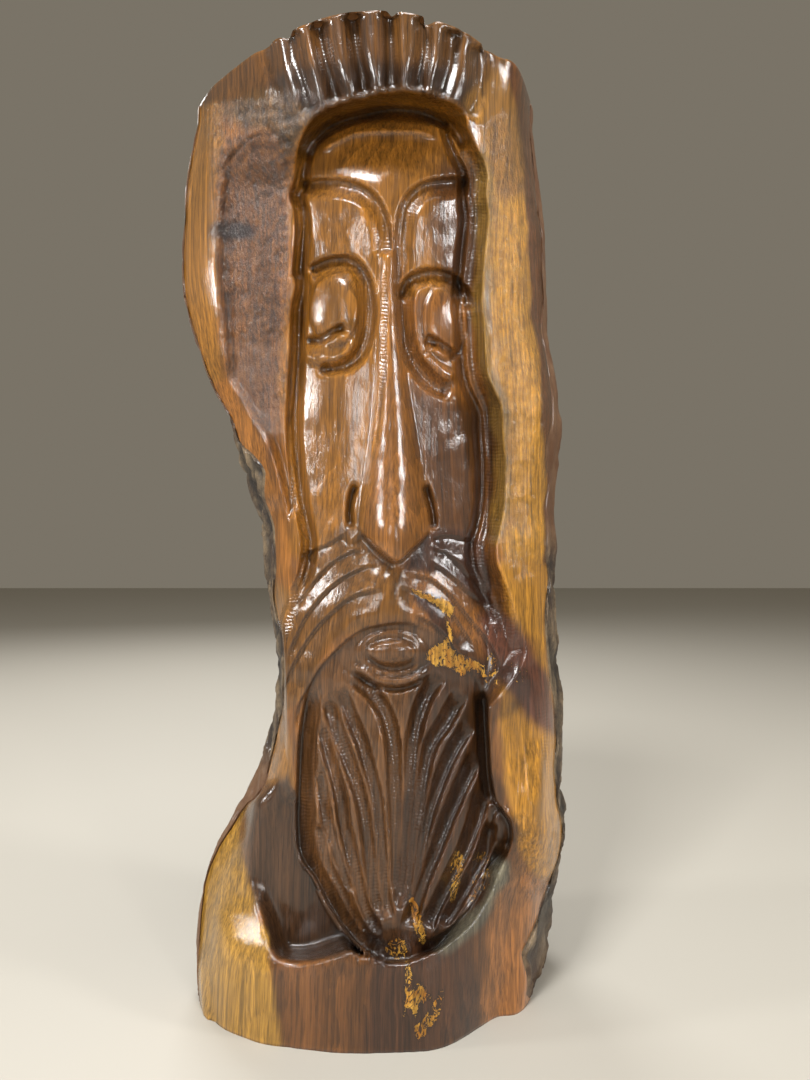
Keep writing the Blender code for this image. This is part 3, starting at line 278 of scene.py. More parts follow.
class CarvedSurface:    # places on the pattern plane, the lift of each towards the eye, and its finish
    def __init__(self, across, height):
        self.across, self.height = across.ravel(), height.ravel()
        self.lift = np.zeros(self.across.shape)
        self.marks = {name: np.zeros(self.across.shape) for name in ("rough", "stainAndCreaseShade", "rot", "burr")}
        self.burrRun = np.zeros(self.across.shape)

    # The places within reach of a line, how far off and along it they are and on which side, and its length
    def near(self, line, reach):
        low, high = line.min(axis=0) - reach, line.max(axis=0) + reach
        rows = np.nonzero((self.across > low[0]) & (self.across < high[0])
                          & (self.height > low[1]) & (self.height < high[1]))[0]
        spots = np.stack([self.across[rows], self.height[rows]], axis=1)
        distance = np.full(len(rows), 1e9)
        along, side = np.zeros(len(rows)), np.zeros(len(rows))
        run = 0.0
        for start, end in zip(line[:-1], line[1:]):
            step = end - start
            length = math.hypot(*step)
            if length < 1e-6:
                continue
            offset = spots - start
            share = np.clip(offset @ step / length ** 2, 0.0, 1.0)
            gap = offset - share[:, None] * step
            reached = np.hypot(gap[:, 0], gap[:, 1])
            closer = reached < distance
            distance = np.where(closer, reached, distance)
            along = np.where(closer, run + share * length, along)
            side = np.where(closer, np.sign(step[0] * offset[:, 1] - step[1] * offset[:, 0]), side)
            run += length
        return rows, distance, along, side, run

    def depthInside(self, points, reach=14.0):    # distance in from a closed edge, negative outside
        line = flowLine(points, closed=True)
        inside = np.zeros(len(self.across), bool)
        for start, end in zip(line[:-1], line[1:]):
            crosses = (start[1] > self.height) != (end[1] > self.height)
            rise = end[1] - start[1] if end[1] != start[1] else 1e-9
            edge = start[0] + (self.height - start[1]) / rise * (end[0] - start[0])
            inside ^= crosses & (self.across < edge)
        distance = np.full(len(self.across), reach)
        rows, near, _, _, _ = self.near(line, reach)
        distance[rows] = np.minimum(near, reach)
        return np.where(inside, distance, -distance)

    # A round groove, deeper on its left by the lean
    def gouge(self, points, width, depth, fade=0.12, burr=0.0, lean=0.0):
        rows, distance, along, side, length = self.near(flowLine(points), width / 2)
        across = np.clip(2.0 * distance / width, 0.0, 1.0) * side
        profile = np.clip(1.0 - across ** 2, 0.0, 1.0) ** 0.75 * (1.0 + lean * across)
        ends = smooth(np.minimum(along, length - along) / (fade * length))
        self.lift[rows] -= depth * profile * ends
        self.markBurr(rows, burr * np.sqrt(profile) * ends, along)

    def flute(self, points, width, depth, fade=0.08, burr=0.0):    # a notch with rounded shoulders
        rows, distance, along, side, length = self.near(flowLine(points), width / 2)
        profile = smooth(1.0 - 2.0 * distance / width) ** 1.3
        ends = smooth(np.minimum(along, length - along) / (fade * length))
        self.lift[rows] -= depth * profile * ends
        self.markBurr(rows, burr * profile * ends, along)

    def markBurr(self, rows, strength, along):    # the chatter of a rotary cutter, ribs across its run
        stronger = strength > self.marks["burr"][rows]
        self.marks["burr"][rows] = np.where(stronger, strength, self.marks["burr"][rows])
        self.burrRun[rows] = np.where(stronger, along, self.burrRun[rows])

    # A shingled edge: it drops beside the line and climbs back
    def stepDown(self, points, drop, reach, fade=0.15, stainAndCreaseShade=0.55):
        rows, distance, along, side, length = self.near(flowLine(points), reach)
        ends = smooth(np.minimum(along, length - along) / (fade * length))
        fall = smooth(distance / 0.9) * (1.0 - smooth(distance / reach))
        self.lift[rows] -= drop * fall * ends * (side > 0)
        # The line is painted dark in its crease: partly dirt caught in the varnish, partly painted shade.
        dark = stainAndCreaseShade * smooth(1.4 - distance / 0.5) * ends
        self.marks["stainAndCreaseShade"][rows] = np.maximum(self.marks["stainAndCreaseShade"][rows], dark)

    def dome(self, centre, halfWidth, halfHeight, rise):
        aside, above = (self.across - centre[0]) / halfWidth, (self.height - centre[1]) / halfHeight
        self.lift += rise * np.sqrt(np.clip(1.0 - (aside ** 2 + above ** 2), 0.0, 1.0))

    def patch(self, name, points, soft, strength=1.0):    # marks the finish inside a closed edge
        cover = strength * smooth(0.5 + self.depthInside(points) / soft)
        self.marks[name] = np.maximum(self.marks[name], cover)


# Depths and widths of the cuts, in pattern millimetres
cuts = {
    "fluteWidth": 14.0, "fluteDepth": 5.0,
    "rimWall": 2.4, "panelWall": 8.0, "shoulderWall": 3.0, "recessGroove": 5.0, "recessGrooveDepth": 4.0,
    "archWidth": 6.5, "archDepth": 5.0, "browWidth": 9.0, "browDepth": 3.2,
    "foreheadLean": 1.6, "foreheadReach": 6.0, "foreheadRoll": 4.6, "foreheadRollHeight": 1.3,
    "socketWidth": 8.4, "socketDepth": 4.2, "lidHeight": 3.2, "slitWidth": 5.0, "slitDepth": 3.0,
    "eyePitWidth": 3.0, "eyePitHeight": 2.2, "eyePitDepth": 1.6,
    "nostrilWidth": 3.8, "nostrilDepth": 4.5, "noseFacet": 3.4, "noseFacetDepth": 0.7,
    "lipLine": 3.4, "strandDrop": 1.8, "strandReach": 10.0, "chinFold": 4.4, "chinFoldHeight": 2.2,
    "beardSink": 2.0, "beardBevel": 1.8, "beardBevelLowRight": 7.0, "knotHeight": 2.4,
    "lockDepth": 4.0, "lockWidth": 3.2, "lockDeepest": 3.8,
    "coveFloor": -4.0, "coveRound": 9.0, "hollowDepth": 6.0, "hollowRound": 5.0,
    "panelFlute": 6.0, "panelFluteDepth": 1.2, "knifeMark": 2.2, "knifeMarkDepth": 1.1,
}
# Where a cut starts to come in and over how far, the other way where that is below zero: heights and places
# across in pattern millimetres, then shares of the rise from foot to top
fades = {
    "hollow": (372.0, -26.0), "shoulder": (360.0, 15.0), "groove": (165.0, 25.0), "burr": (150.0, 20.0),
    "rightWall": (-5.0, 25.0), "lowBeard": (72.0, -14.0), "rightBeard": (12.0, 14.0),
    "notches": (0.8, 0.2), "sawnTop": (0.9, 0.1), "sawnFoot": (0.08, -0.08),
}
# How uneven the hand left things: height of the swells, then their size
tooling = {
    "facet": 0.22, "facetSize": 6.5, "scratch": 0.1, "scratchSize": 2.6, "lump": 0.8, "lumpSize": 5.0,
    "tear": 0.45, "tearSize": 2.3, "colour": 1.6, "colourSize": 9.0, "barkEdge": 0.3, "barkEdgeSize": 13.0,
}


def fadeIn(name, places):
    start, over = fades[name]
    return smooth((places - start) / over)


def planAcross(plan, share):
    return plan[0][0] + share * (plan[-1][0] - plan[0][0])


def planLift(plan, share):    # lift of the front edge of the sawn top or the underside
    return readTable(plan, 1, planAcross(plan, share))


def sightHeight(level, lift):    # height on the pattern plane of a place at this level, lifted this far
    return eyeHeight + (level - eyeHeight) * sightDistance / (sightDistance - lift)


def cutFlutes(surface, burr=0.0):
    for strength, points in crestFlutes:
        surface.flute(points, cuts["fluteWidth"], strength * cuts["fluteDepth"], burr=burr)


def outlineAcross(points, heights, foot, top):    # how far across an outline is at these heights
    inner = [p for p in points if foot[1] + 4.0 < p[1] < top[1] - 4.0]
    line = flowLine([foot] + inner + [top])
    return np.interp(heights, line[:, 1], line[:, 0])


def frontPlaces(share, rise):    # across and height on the plane, for shares of the width and of the rise
    line = np.linspace(0.0, 1.0, 401)
    topAcross, footAcross = planAcross(topPlan, line), planAcross(footPlan, line)
    topHeight = sightHeight(drawnHeight, planLift(topPlan, line))
    footHeight = sightHeight(0.0, planLift(footPlan, line))
    notched = topHeight
    for _ in range(4):    # the flutes notch the edge of the sawn top, which moves where they meet it
        edge = CarvedSurface(topAcross, notched)
        edge.lift = planLift(topPlan, line)
        cutFlutes(edge)
        notched = sightHeight(drawnHeight, edge.lift)

    leftHeight = footHeight[0] + rise * (topHeight[0] - footHeight[0])
    rightHeight = footHeight[-1] + rise * (topHeight[-1] - footHeight[-1])
    foot, top = list(zip(footAcross, footHeight)), list(zip(topAcross, topHeight))
    left = outlineAcross(leftOutline, leftHeight, foot[0], top[0])
    right = outlineAcross(rightOutline, rightHeight, foot[-1], top[-1])
    t = rise[:, None]
    across = (1 - share) * left[:, None] + share * right[:, None]
    height = ((1 - share) * leftHeight[:, None] + share * rightHeight[:, None]
              + (1 - t) * np.interp(share, line, footHeight) + t * np.interp(share, line, topHeight)
              - (1 - share) * ((1 - t) * footHeight[0] + t * topHeight[0])
              - share * ((1 - t) * footHeight[-1] + t * topHeight[-1]))
    height += np.interp(share, line, notched - topHeight) * fadeIn("notches", t)
    return across, height


def uncutLift(share, rise):    # the front of the log as it was before it was carved
    line = np.linspace(0.0, 1.0, 161)
    stations = [0.0] + [station for station, _ in sections] + [1.0]
    lifts = [planLift(footPlan, line)]
    lifts += [readTable(list(zip(sectionShares, values)), 1, line) for _, values in sections]
    lifts = np.array(lifts + [planLift(topPlan, line)])
    columns = np.stack([readTable(list(zip(stations, column)), 1, rise) for column in lifts.T], axis=1)
    return np.stack([np.interp(share[row], line, columns[row]) for row in range(len(rise))])


def guideShares(guide, rise):    # share of the width at which each row of the grid meets a guide line
    guide = np.array(sorted(guide, key=lambda point: point[1]))
    share = np.full((len(rise), 1), 0.5)
    ends, _ = frontPlaces(np.tile([0.0, 1.0], (len(rise), 1)), rise)
    for _ in range(6):
        _, height = frontPlaces(share, rise)
        across = np.interp(height[:, 0], guide[:, 1], guide[:, 0])
        share = np.clip((across - ends[:, 0]) / (ends[:, 1] - ends[:, 0]), 0.05, 0.95)[:, None]
    return share[:, 0]


def toMetres(across, height, lift):    # from the pattern plane along each sight line to a place in the room
    nearer = 1.0 - lift / sightDistance
    x = eyeOffset + nearer * across
    z = eyeHeight + nearer * (height - eyeHeight)
    return np.stack([x, -lift, z], axis=-1) * patternScale


def faceForm(surface):
    offset = (surface.across - faceCentre) / faceHalfWidth
    middle = readTable(faceMiddle, 1, surface.height)
    edge = readTable(faceEdge, 1, surface.height)
    return edge + (middle - edge) * (1.0 - np.clip(np.abs(offset), 0, 1.15) ** 2)


def scoopHollows(surface):
    hollow = smooth(surface.depthInside(hollowEdge) / cuts["hollowRound"])
    surface.lift -= cuts["hollowDepth"] * hollow * fadeIn("hollow", surface.height)
    cove = np.clip(surface.depthInside(coveEdge) / cuts["coveRound"], 0.0, 1.0)
    scoop = (1.0 - (1.0 - cove) ** 2.2) * (surface.depthInside(beardEdge) < 0)
    surface.lift += (cuts["coveFloor"] - surface.lift) * scoop
    for points in panelFlutes:
        surface.gouge(points, cuts["panelFlute"], cuts["panelFluteDepth"], fade=0.3, burr=0.5)


def cutRecess(surface):    # a steep wall on the left, a cove on the right, a groove at the foot of both
    inside = surface.depthInside(recessEdge)
    turn = fadeIn("rightWall", surface.across)
    wall = cuts["rimWall"] + (cuts["panelWall"] - cuts["rimWall"]) * turn
    wall = wall + cuts["shoulderWall"] * fadeIn("shoulder", surface.height) * (1 - turn)
    groove = np.clip(1.0 - ((inside - wall) / (cuts["recessGroove"] / 2) - 1.0) ** 2, 0.0, 1.0)
    face = faceForm(surface) - cuts["recessGrooveDepth"] * groove * fadeIn("groove", surface.height)
    drop = 1.0 - (1.0 - np.clip(inside / wall, 0.0, 1.0)) ** 1.7
    surface.lift = surface.lift + (face - surface.lift) * drop * (inside > 0)
    beside = smooth((inside + 0.5) / 1.5) * smooth((wall + 3.5 - inside) / 2.0)
    beside = beside * fadeIn("burr", surface.height)
    rows = np.nonzero(beside > 0.02)[0]
    surface.markBurr(rows, beside[rows], surface.height[rows])


def cutBrowAndEyes(surface):
    surface.gouge(archLine, cuts["archWidth"], cuts["archDepth"], fade=0.05, burr=0.6)
    surface.stepDown(foreheadEdge[::-1], -cuts["foreheadLean"], cuts["foreheadReach"], stainAndCreaseShade=0.0)
    surface.gouge(foreheadEdge, cuts["foreheadRoll"], -cuts["foreheadRollHeight"], fade=0.1)
    for points, lean in zip(browLines, (0.7, -0.7)):
        surface.gouge(points, cuts["browWidth"], cuts["browDepth"], fade=0.05, burr=0.5, lean=lean)
    for points, lean in zip(socketLines, (0.7, -0.6)):
        surface.gouge(points, cuts["socketWidth"], cuts["socketDepth"], fade=0.06, burr=0.7, lean=lean)
    for x, z, halfWidth, halfHeight in eyelids:
        surface.dome((x, z), halfWidth, halfHeight, cuts["lidHeight"])
    for points in eyeSlits:
        surface.gouge(points, cuts["slitWidth"], cuts["slitDepth"], fade=0.1, lean=0.5)
    for x, z in eyePits:
        surface.dome((x, z), cuts["eyePitWidth"], cuts["eyePitHeight"], -cuts["eyePitDepth"])
    for points in lowerLids:
        surface.gouge(points, cuts["slitWidth"], -0.5 * cuts["lidHeight"], fade=0.15)


def raiseNose(surface):    # a ridge that stands off the face, cut off square at its base
    height = surface.height
    rise = readTable(noseForm, 1, height)
    half = np.maximum(readTable(noseForm, 2, height), 1.0)
    centre = readTable(noseForm, 3, height)
    baseLine = flowLine(noseBase)
    base = np.interp(surface.across, baseLine[:, 0], baseLine[:, 1])
    spread = np.clip(np.abs(surface.across - centre) / half, 0.0, 1.0)
    above = smooth((height - base) / 2.0) * (height < noseForm[-1][0])
    surface.lift += rise * (1.0 - spread ** 1.8) * above
    for points in nostrils:
        surface.gouge(points, cuts["nostrilWidth"], cuts["nostrilDepth"], fade=0.12)
    surface.gouge(noseFacet, cuts["noseFacet"], cuts["noseFacetDepth"], fade=0.08, burr=1.0)


def cutMoustache(surface):
    for points in moustacheLines:
        right = points[0][0] > faceCentre
        surface.stepDown(points if right else points[::-1], cuts["strandDrop"], cuts["strandReach"])


def carveBeard(surface):    # long round channels that meet in thin ridges, in a body sunk below the face
    inside = surface.depthInside(beardEdge)
    lowRight = fadeIn("rightBeard", surface.across) * fadeIn("lowBeard", surface.height)
    body = smooth(inside / (cuts["beardBevel"] + cuts["beardBevelLowRight"] * lowRight))
    surface.lift += (faceForm(surface) - cuts["beardSink"] - surface.lift) * body
    level = surface.lift.copy()
    for width, points in beardLocks:
        rows, distance, along, side, length = surface.near(flowLine(points), width)
        hollowness = np.sqrt(np.clip(1.0 - (distance / width) ** 2, 0.0, 1.0))
        ends = smooth(np.minimum(along, length - along) / (0.1 * length))
        depth = cuts["lockDepth"] * min(width, cuts["lockDeepest"]) / cuts["lockWidth"]
        floor = level[rows] - depth * hollowness * ends * body[rows]
        deeper = floor < surface.lift[rows]
        surface.lift[rows] = np.where(deeper, floor, surface.lift[rows])
        rows, along, strength = rows[deeper], along[deeper], (hollowness * ends)[deeper]
        surface.marks["burr"][rows] = strength
        surface.burrRun[rows] = along
    for x, z, halfWidth, halfHeight, rise in lips:
        surface.dome((x, z), halfWidth, halfHeight, rise)
    for depth, points in lipLines:
        surface.gouge(points, cuts["lipLine"], depth, fade=0.25)
    surface.gouge(chinFold, cuts["chinFold"], -cuts["chinFoldHeight"], fade=0.15)
    x, z, radius = knot
    surface.dome((x, z), radius, 1.5 * radius, cuts["knotHeight"])


def toLinear(hexColour):    # an sRGB colour such as "#a86632" as linear light
    channels = np.array([int(hexColour[place:place + 2], 16) for place in (1, 3, 5)]) / 255.0
    return np.where(channels <= 0.04045, channels / 12.92, ((channels + 0.055) / 1.055) ** 2.4)


# Colours of the varnished wood, area by area
woodColours = {
    "heart": "#80501f", "crest": "#5c3a17", "crestRight": "#66421a", "paintedShadeUnderCrest": "#3d2612",
    "rim": "#9c6824", "burnt": "#5c4020", "hollow": "#6e4520", "band": "#a0662a", "pale": "#9a6a30",
    "panel": "#b8822a", "panelTop": "#8c6128", "panelLow": "#b07a26", "strip": "#643b18",
    "browPanel": "#8c5b1e", "cheek": "#8e5c1c", "shadeCheek": "#52300f", "wall": "#86642c",
    "nose": "#855524", "moustache": "#70491c", "darkMoustache": "#432614", "streak": "#5c3422",
    "beard": "#624021", "darkBeard": "#44280f", "cove": "#49301c", "base": "#a1772e",
    "baseHeart": "#653e1a", "baseDark": "#4a2c17", "mould": "#6b6553", "salmon": "#96602e",
}
# Where each colour lies, painted in this order: colour, softness of its edge, closed edge on the pattern
woodAreas = [
    ("crest", 8, pairs(-85.9, 401.2, -44, 422.2, -2.1, 426.4, -2.1, 384.5, -31.4, 379.4, -44, 371.9,
        -56.6, 367.7, -73.4, 376.1, -85.9, 376.1)),
    ("crestRight", 8, pairs(-2.1, 426.4, 39.8, 413.8, 48.2, 388.7, 35.6, 371.9, 27.3, 371.9, 18.9, 382.4,
        -2.1, 386.6)),
    # This colour is painted shade: it darkens the foot of the crest flutes and the roll under them, where the
    # overhang shades them.
    ("paintedShadeUnderCrest", 10, pairs(-58.3, 391.2, -44, 398.7, -23.1, 401.2, -2.1, 401.2, 18.9, 398.7, 29.8, 388.7,
        27.3, 376.9, 14.7, 385.3, -6.7, 388.2, -27.3, 383.2, -41.9, 374, -55.8, 376.9)),
    ("rim", 3, pairs(-106.9, 371.9, -86.8, 381.1, -76.7, 380.3, -77.6, 359.3, -78.8, 332.5, -78.4, 296.4,
        -75, 267.1, -78.4, 258.7, -85.9, 258.7, -106.9, 300.6)),
    ("burnt", 6, pairs(-76.7, 379.4, -65, 387.8, -48.2, 386.1, -39.8, 376.1, -48.2, 363.5, -52.4, 359.3,
        -60, 371.9, -69.2, 372.7)),
    ("hollow", 5, pairs(-60, 371.9, -50.3, 359.3, -50.7, 317.4, -51.6, 279.7, -54.1, 246.1, -57.4, 229.3,
        -65, 251.1, -74.2, 265, -77.6, 296.4, -78.4, 332.5, -75.9, 363.5)),
    ("band", 3, pairs(-81.8, 260.8, -74.2, 265, -65, 250.3, -56.6, 229.3, -50.3, 208.4, -47.4, 191.6,
        -48.2, 166.5, -54.1, 158.1, -60, 187.4, -69.2, 225.2, -79.7, 241.9)),
    ("pale", 4, pairs(-60, 183.2, -47, 174.8, -51.1, 158.1, -50.7, 132.9, -48.2, 107.8, -46.5, 95.2,
        -60, 97.3, -73.4, 95.2, -60.8, 116.2, -57.4, 141.3)),
    ("panel", 6, pairs(27.3, 382.8, 35.6, 391.2, 44.9, 391.2, 52.4, 371.9, 65, 342.5, 71.3, 258.7,
        69.2, 191.6, 52.4, 187.4, 41.9, 191.6, 39.8, 208.4, 42.3, 237.7, 34.8, 271.3, 33.1, 317.4,
        34.8, 346.7)),
    ("panelTop", 8, pairs(28.1, 384.5, 35.6, 397, 46.5, 399.6, 54.1, 380.3, 59.1, 346.7, 48.2, 343.4,
        35.6, 346.7, 32.3, 367.7)),
    ("strip", 2, pairs(44, 401.2, 48.2, 380.3, 49.9, 353, 51.6, 321.6, 53.7, 291, 56.6, 258.7,
        59.1, 216.8, 57.9, 191.6, 55.3, 174.8, 52.8, 153.9, 58.7, 124.5, 81.8, 116.2, 81.8, 401.2)),
    ("panelLow", 4, pairs(39.8, 191.6, 60, 187.4, 58.7, 158.1, 65, 132.9, 69.2, 91, 69.2, 70,
        58.7, 57.5, 48.2, 70, 43.2, 91, 39.8, 132.9, 48.2, 153.9, 41.9, 174.8)),
    ("browPanel", 3, pairs(-45.7, 363.5, -31.4, 379.4, -2.1, 387.8, 25.2, 379.4, 33.1, 359.3, 33.1, 300.6,
        14.7, 304.8, 0, 300.6, -12.6, 313.2, -31.4, 316.5, -45.7, 300.6)),
    ("cheek", 5, pairs(-48.2, 300.6, -8.4, 321.6, -8.4, 200, -44, 191.6, -49.1, 225.2)),
    # These two areas darken the right cheek and the panel beside the right eye: partly the wood's own darker
    # colour, partly painted shade.
    ("shadeCheek", 14, pairs(2.9, 258.7, 18.9, 259.5, 39.8, 254.5, 42.3, 229.3, 39.8, 204.2, 14.7, 191.6,
        9.6, 216.8)),
    ("shadeCheek", 10, pairs(10.5, 350.9, 30.6, 355.1, 33.1, 309, 27.3, 300.6, 16.8, 306.9)),
    ("wall", 4, pairs(30.6, 363.5, 36.5, 355.1, 36.5, 300.6, 36.5, 271.3, 43.2, 254.5, 44, 216.8,
        39.8, 200, 36.5, 200, 37.7, 225.2, 35.6, 258.7, 29.8, 275.5, 28.9, 309, 30.6, 342.5)),
    ("nose", 4, pairs(-7.1, 325.8, -2.1, 325.8, 2.9, 250.3, 10.5, 208.4, -2.9, 189.5, -18, 200,
        -13.8, 225.2, -8.8, 258.7)),
    ("moustache", 4, pairs(-22.6, 205.9, -10.5, 191.6, -0.4, 183.2, -2.1, 158.1, -27.3, 158.1, -44, 132.9,
        -52.4, 132.9, -50.3, 166.5, -41.9, 191.6)),
    ("darkMoustache", 3, pairs(-0.4, 187.4, 9.6, 201.7, 27.3, 201.7, 36.5, 187.4, 37.7, 171.5, 31.4, 172.3,
        23.9, 179.9, 14.7, 185.7, 6.3, 186.6)),
    ("darkMoustache", 3, pairs(5.5, 176.5, 16.8, 174.8, 17.6, 158.9, 13, 161.4, 8, 169.8)),
    ("streak", 6, pairs(31.4, 167.3, 39, 169.8, 52.4, 158.1, 63.3, 132.9, 63.3, 118.2, 52.4, 124.5,
        41.9, 139.2, 33.5, 151.8)),
    ("beard", 4, beardEdge),
    ("darkBeard", 5, pairs(6.3, 149.7, 27.3, 158.1, 35.6, 137.1, 38.6, 103.6, 45.7, 82.6, 46.5, 70,
        41.9, 52.4, 30.6, 35.7, 14.7, 23.9, -4.2, 23.9, -1.3, 91)),
    ("cove", 4, pairs(-51.6, 100.2, -60, 95.2, -66.7, 84.7, -66.7, 61.7, -60.8, 40.7, -54.5, 23.9,
        -27.3, 23.1, -18.9, 28.1, -35.6, 57.5, -45.7, 95.2)),
    ("base", 3, pairs(-106.9, -34.8, -106.9, 57.5, -79.7, 72.1, -69.2, 91, -60, 99.4, -67.5, 82.6,
        -67.1, 59.6, -62.5, 44, -56.6, 28.1, -52.4, -34.8)),
    ("baseHeart", 3, pairs(-57.4, 28.1, -44, 23.1, -2.1, 28.1, 31.4, 36.5, 37.7, 23.9, 33.5, -34.8,
        -10.5, -39, -50.7, -34.8, -52.4, -13.8, -54.5, 7.2)),
    ("baseDark", 8, pairs(-12.6, 23.9, 27.3, 28.1, 31.4, -34.8, -10.5, -34.8)),
    ("mould", 4, pairs(12.2, 29, 17.6, 34, 24.3, 40.3, 31.4, 47.8, 35.2, 55.8, 36.9, 65.8, 43.2, 64.2,
        41.9, 54.1, 38.2, 45.7, 31.4, 38.2, 23.9, 32.3, 16.4, 27.3)),
    ("salmon", 4, pairs(34.8, 36.5, 46.1, 57.5, 56.6, 57.5, 81.8, 49.1, 81.8, -34.8, 34.8, -34.8)),
]
# Pockets of ochre rot, stains, and the torn rough wood: strength, softness, closed edge
rotAreas = [
    (0.8, 2, pairs(2.9, 179.9, 10.5, 177.4, 17.2, 175.3, 21, 172.3, 18.9, 167.3, 15.9, 169.8, 10.9, 173.6,
        4.2, 176.5)),
    (0.7, 2, pairs(16.8, 167.3, 20.1, 161.4, 19.7, 155.6, 14.7, 153.5, 11.7, 155.6, 16.8, 158.9)),
    (0.8, 4, pairs(12.6, 156.8, 8, 150.9, 13.8, 146.3, 18.9, 146.3, 23.9, 142.6, 28.9, 145.5, 34.8, 138.8,
        32.7, 148, 24.3, 151.8, 18.4, 155.6)),
    (0.45, 3, pairs(34, 153, 39, 151.4, 39.8, 139.6, 35.6, 139.6)),
    (0.4, 4, pairs(40.7, 156, 44.9, 149.7, 51.6, 146.3, 51.1, 139.6, 44.9, 141.3)),
    (0.6, 2, pairs(20.1, 69.2, 25.2, 67.5, 23.9, 57.5, 20.5, 48.2, 18.4, 50.8)),
    (0.45, 4, pairs(28.9, 70, 35.6, 69.2, 37.3, 57.5, 31.4, 49.9, 26.4, 47)),
    (0.7, 2, pairs(1.7, 52, 5.5, 46.6, 9.2, 33.1, 6.7, 29.8, 3.8, 36.5, 2.1, 44)),
    (0.6, 3, pairs(-7.1, 32.3, -0.4, 33.1, 2.1, 27.3, -2.9, 23.1, -8, 27.3)),
    (0.6, 2, pairs(-0.4, 23.1, 2.9, 22.2, 2.9, 13.9, 0, 11.3)),
    (0.75, 4, pairs(-0.8, 13, 2.1, 11.3, 6.3, 14.7, 9.6, 10.5, 11.3, 8, 6.3, 4.6, 4.6, -0.4, 1.3, 3.8,
        -0.4, 0.4)),
    (0.6, 3, pairs(12.2, 7.2, 16.4, 12.2, 15.9, 4.6, 13, -2.1, 6.3, -10.5, 2.9, -4.6, 8, 0.4)),
]
stainAreas = [
    (0.8, 3, pairs(-80.1, 333.3, -65, 332.5, -65, 326.6, -80.1, 326.6)),
    (0.3, 8, pairs(10.5, 49.1, 39.8, 57.5, 46.1, 44.9, 18.9, 23.9)),
    (0.7, 5, pairs(-18, 38.6, -8.4, 42.8, -2.1, 23.9, -12.6, 21.8)),
    (0.5, 6, pairs(14.7, 200, 35.6, 187.4, 39.8, 166.5, 18.9, 179)),
    (0.55, 6, pairs(31.4, 149.7, 50.3, 145.5, 52.4, 132.9, 35.6, 124.5)),
]
roughAreas = [
    (1.0, 5, pairs(-81.8, 382.4, -60, 384.5, -44, 376.1, -48.2, 363.5, -50.7, 283.8, -60, 281.8,
        -73.4, 288, -79.2, 332.5, -81.8, 363.5)),
    (0.5, 6, pairs(-76.7, 288, -50.7, 283.8, -49.1, 250.3, -60, 246.1, -71.3, 262.9)),
    (0.6, 5, pairs(-58.7, 387.8, -31.4, 384.5, -44, 371.9, -60, 371.9)),
    (0.45, 5, pairs(31.4, 363.5, 52.4, 363.5, 60, 200, 41.9, 191.6, 39.8, 258.7)),
    (0.5, 5, pairs(45.7, 84.7, 58.7, 81.8, 63.3, 70, 60, 55.4, 49.9, 52.4)),
]
# Single knife cuts in the rough wood round the hollow
knifeMarks = [
    pairs(-76.3, 356.4, -71.3, 361.8, -65.8, 367.3, -59.5, 371),
    pairs(-78.8, 372.7, -76.7, 367.3, -74.6, 364.8),
    pairs(-69.6, 384.9, -67.5, 377.3, -66.7, 368.5),
    pairs(-57.9, 376.1, -54.9, 370.6, -47, 364.3),
    pairs(-72.5, 376.9, -66.7, 379.4, -57.4, 380.3, -48.2, 379.4),
]


def knifeCuts(surface):
    for points in knifeMarks:
        surface.gouge(points, cuts["knifeMark"], cuts["knifeMarkDepth"], fade=0.2)


def paintWood(surface):    # the colour of the wood from area to area
    surface.tone = np.tile(toLinear(woodColours["heart"]), (len(surface.across), 1))
    wobble = tooling["colour"] * unevenness(surface.across, surface.height, tooling["colourSize"], 11)
    for name, soft, points in woodAreas:
        cover = smooth(0.5 + (surface.depthInside(points) + wobble) / soft)[:, None]
        surface.tone += (toLinear(woodColours[name]) - surface.tone) * cover
    for mark, areas in (("rot", rotAreas), ("stainAndCreaseShade", stainAreas), ("rough", roughAreas)):
        for strength, soft, points in areas:
            surface.patch(mark, points, soft, strength)


def roughen(surface):    # facets left by the tool everywhere, torn lumps where the wood was left rough
    across, height, rough = surface.across, surface.height, surface.marks["rough"]
    facets = tooling["facet"] * unevenness(across, height, tooling["facetSize"], 5)
    facets += tooling["scratch"] * unevenness(across, 0.6 * height, tooling["scratchSize"], 6)
    lumps = tooling["lump"] * unevenness(across, height, tooling["lumpSize"], 7)
    lumps += tooling["tear"] * unevenness(across, height, tooling["tearSize"], 8)
    surface.lift += facets + lumps * rough


# Guide lines that the grid follows beside the recess and the beard, so that their walls stay crisp
leftGuide = pairs(-44, 409.6, -44, 369.8, -45.7, 361.4, -47, 350.9, -48.2, 344.2, -47, 337.5,
    -46.5, 329.1, -47.8, 313.2, -46.5, 306.9, -48.2, 296.4, -48.6, 279.7, -49.5, 265, -50.3, 250.3,
    -49.5, 233.5, -47.4, 216.8, -44.4, 202.1, -44, 195.8, -45.3, 187, -48.6, 178.2, -50.7, 168.6,
    -51.1, 158.1, -50.7, 132.9, -49.1, 112, -46.5, 95.2, -46.1, 73.4, -43.6, 64.2, -39, 58.3,
    -33.1, 47, -26.4, 36.5, -23.1, 26, -23.1, -15.1)
rightGuide = pairs(27.3, 413.8, 26.8, 379.4, 26.8, 372.7, 29.8, 365.6, 33.1, 359.3, 34.8, 352.6,
    34.4, 344.2, 35.2, 336.3, 34.8, 328.3, 33.5, 316.5, 32.3, 300.2, 33.1, 292.2, 34, 276.3, 35.2, 268.3,
    38.2, 261.6, 40.7, 254.9, 41.5, 243.2, 42.3, 231, 41.9, 215.1, 39.8, 202.9, 38.2, 197.5, 38.6, 190.8,
    38.2, 174.8, 36.5, 158.1, 34.8, 141.3, 34.8, 132.9, 35.6, 120.3, 36.5, 103.6, 38.6, 91, 41.9, 86.8,
    45.3, 80.5, 44.9, 72.1, 41.1, 61.7, 37.3, 51.2, 29.3, 38.6, 18.9, 30.2, 10.5, 23.1, 8.4, -15.1)
gridColumns = (40, 128, 32)    # columns left of the guides, between them and right of them
hiddenColumns = 10    # columns round the back, under the bark
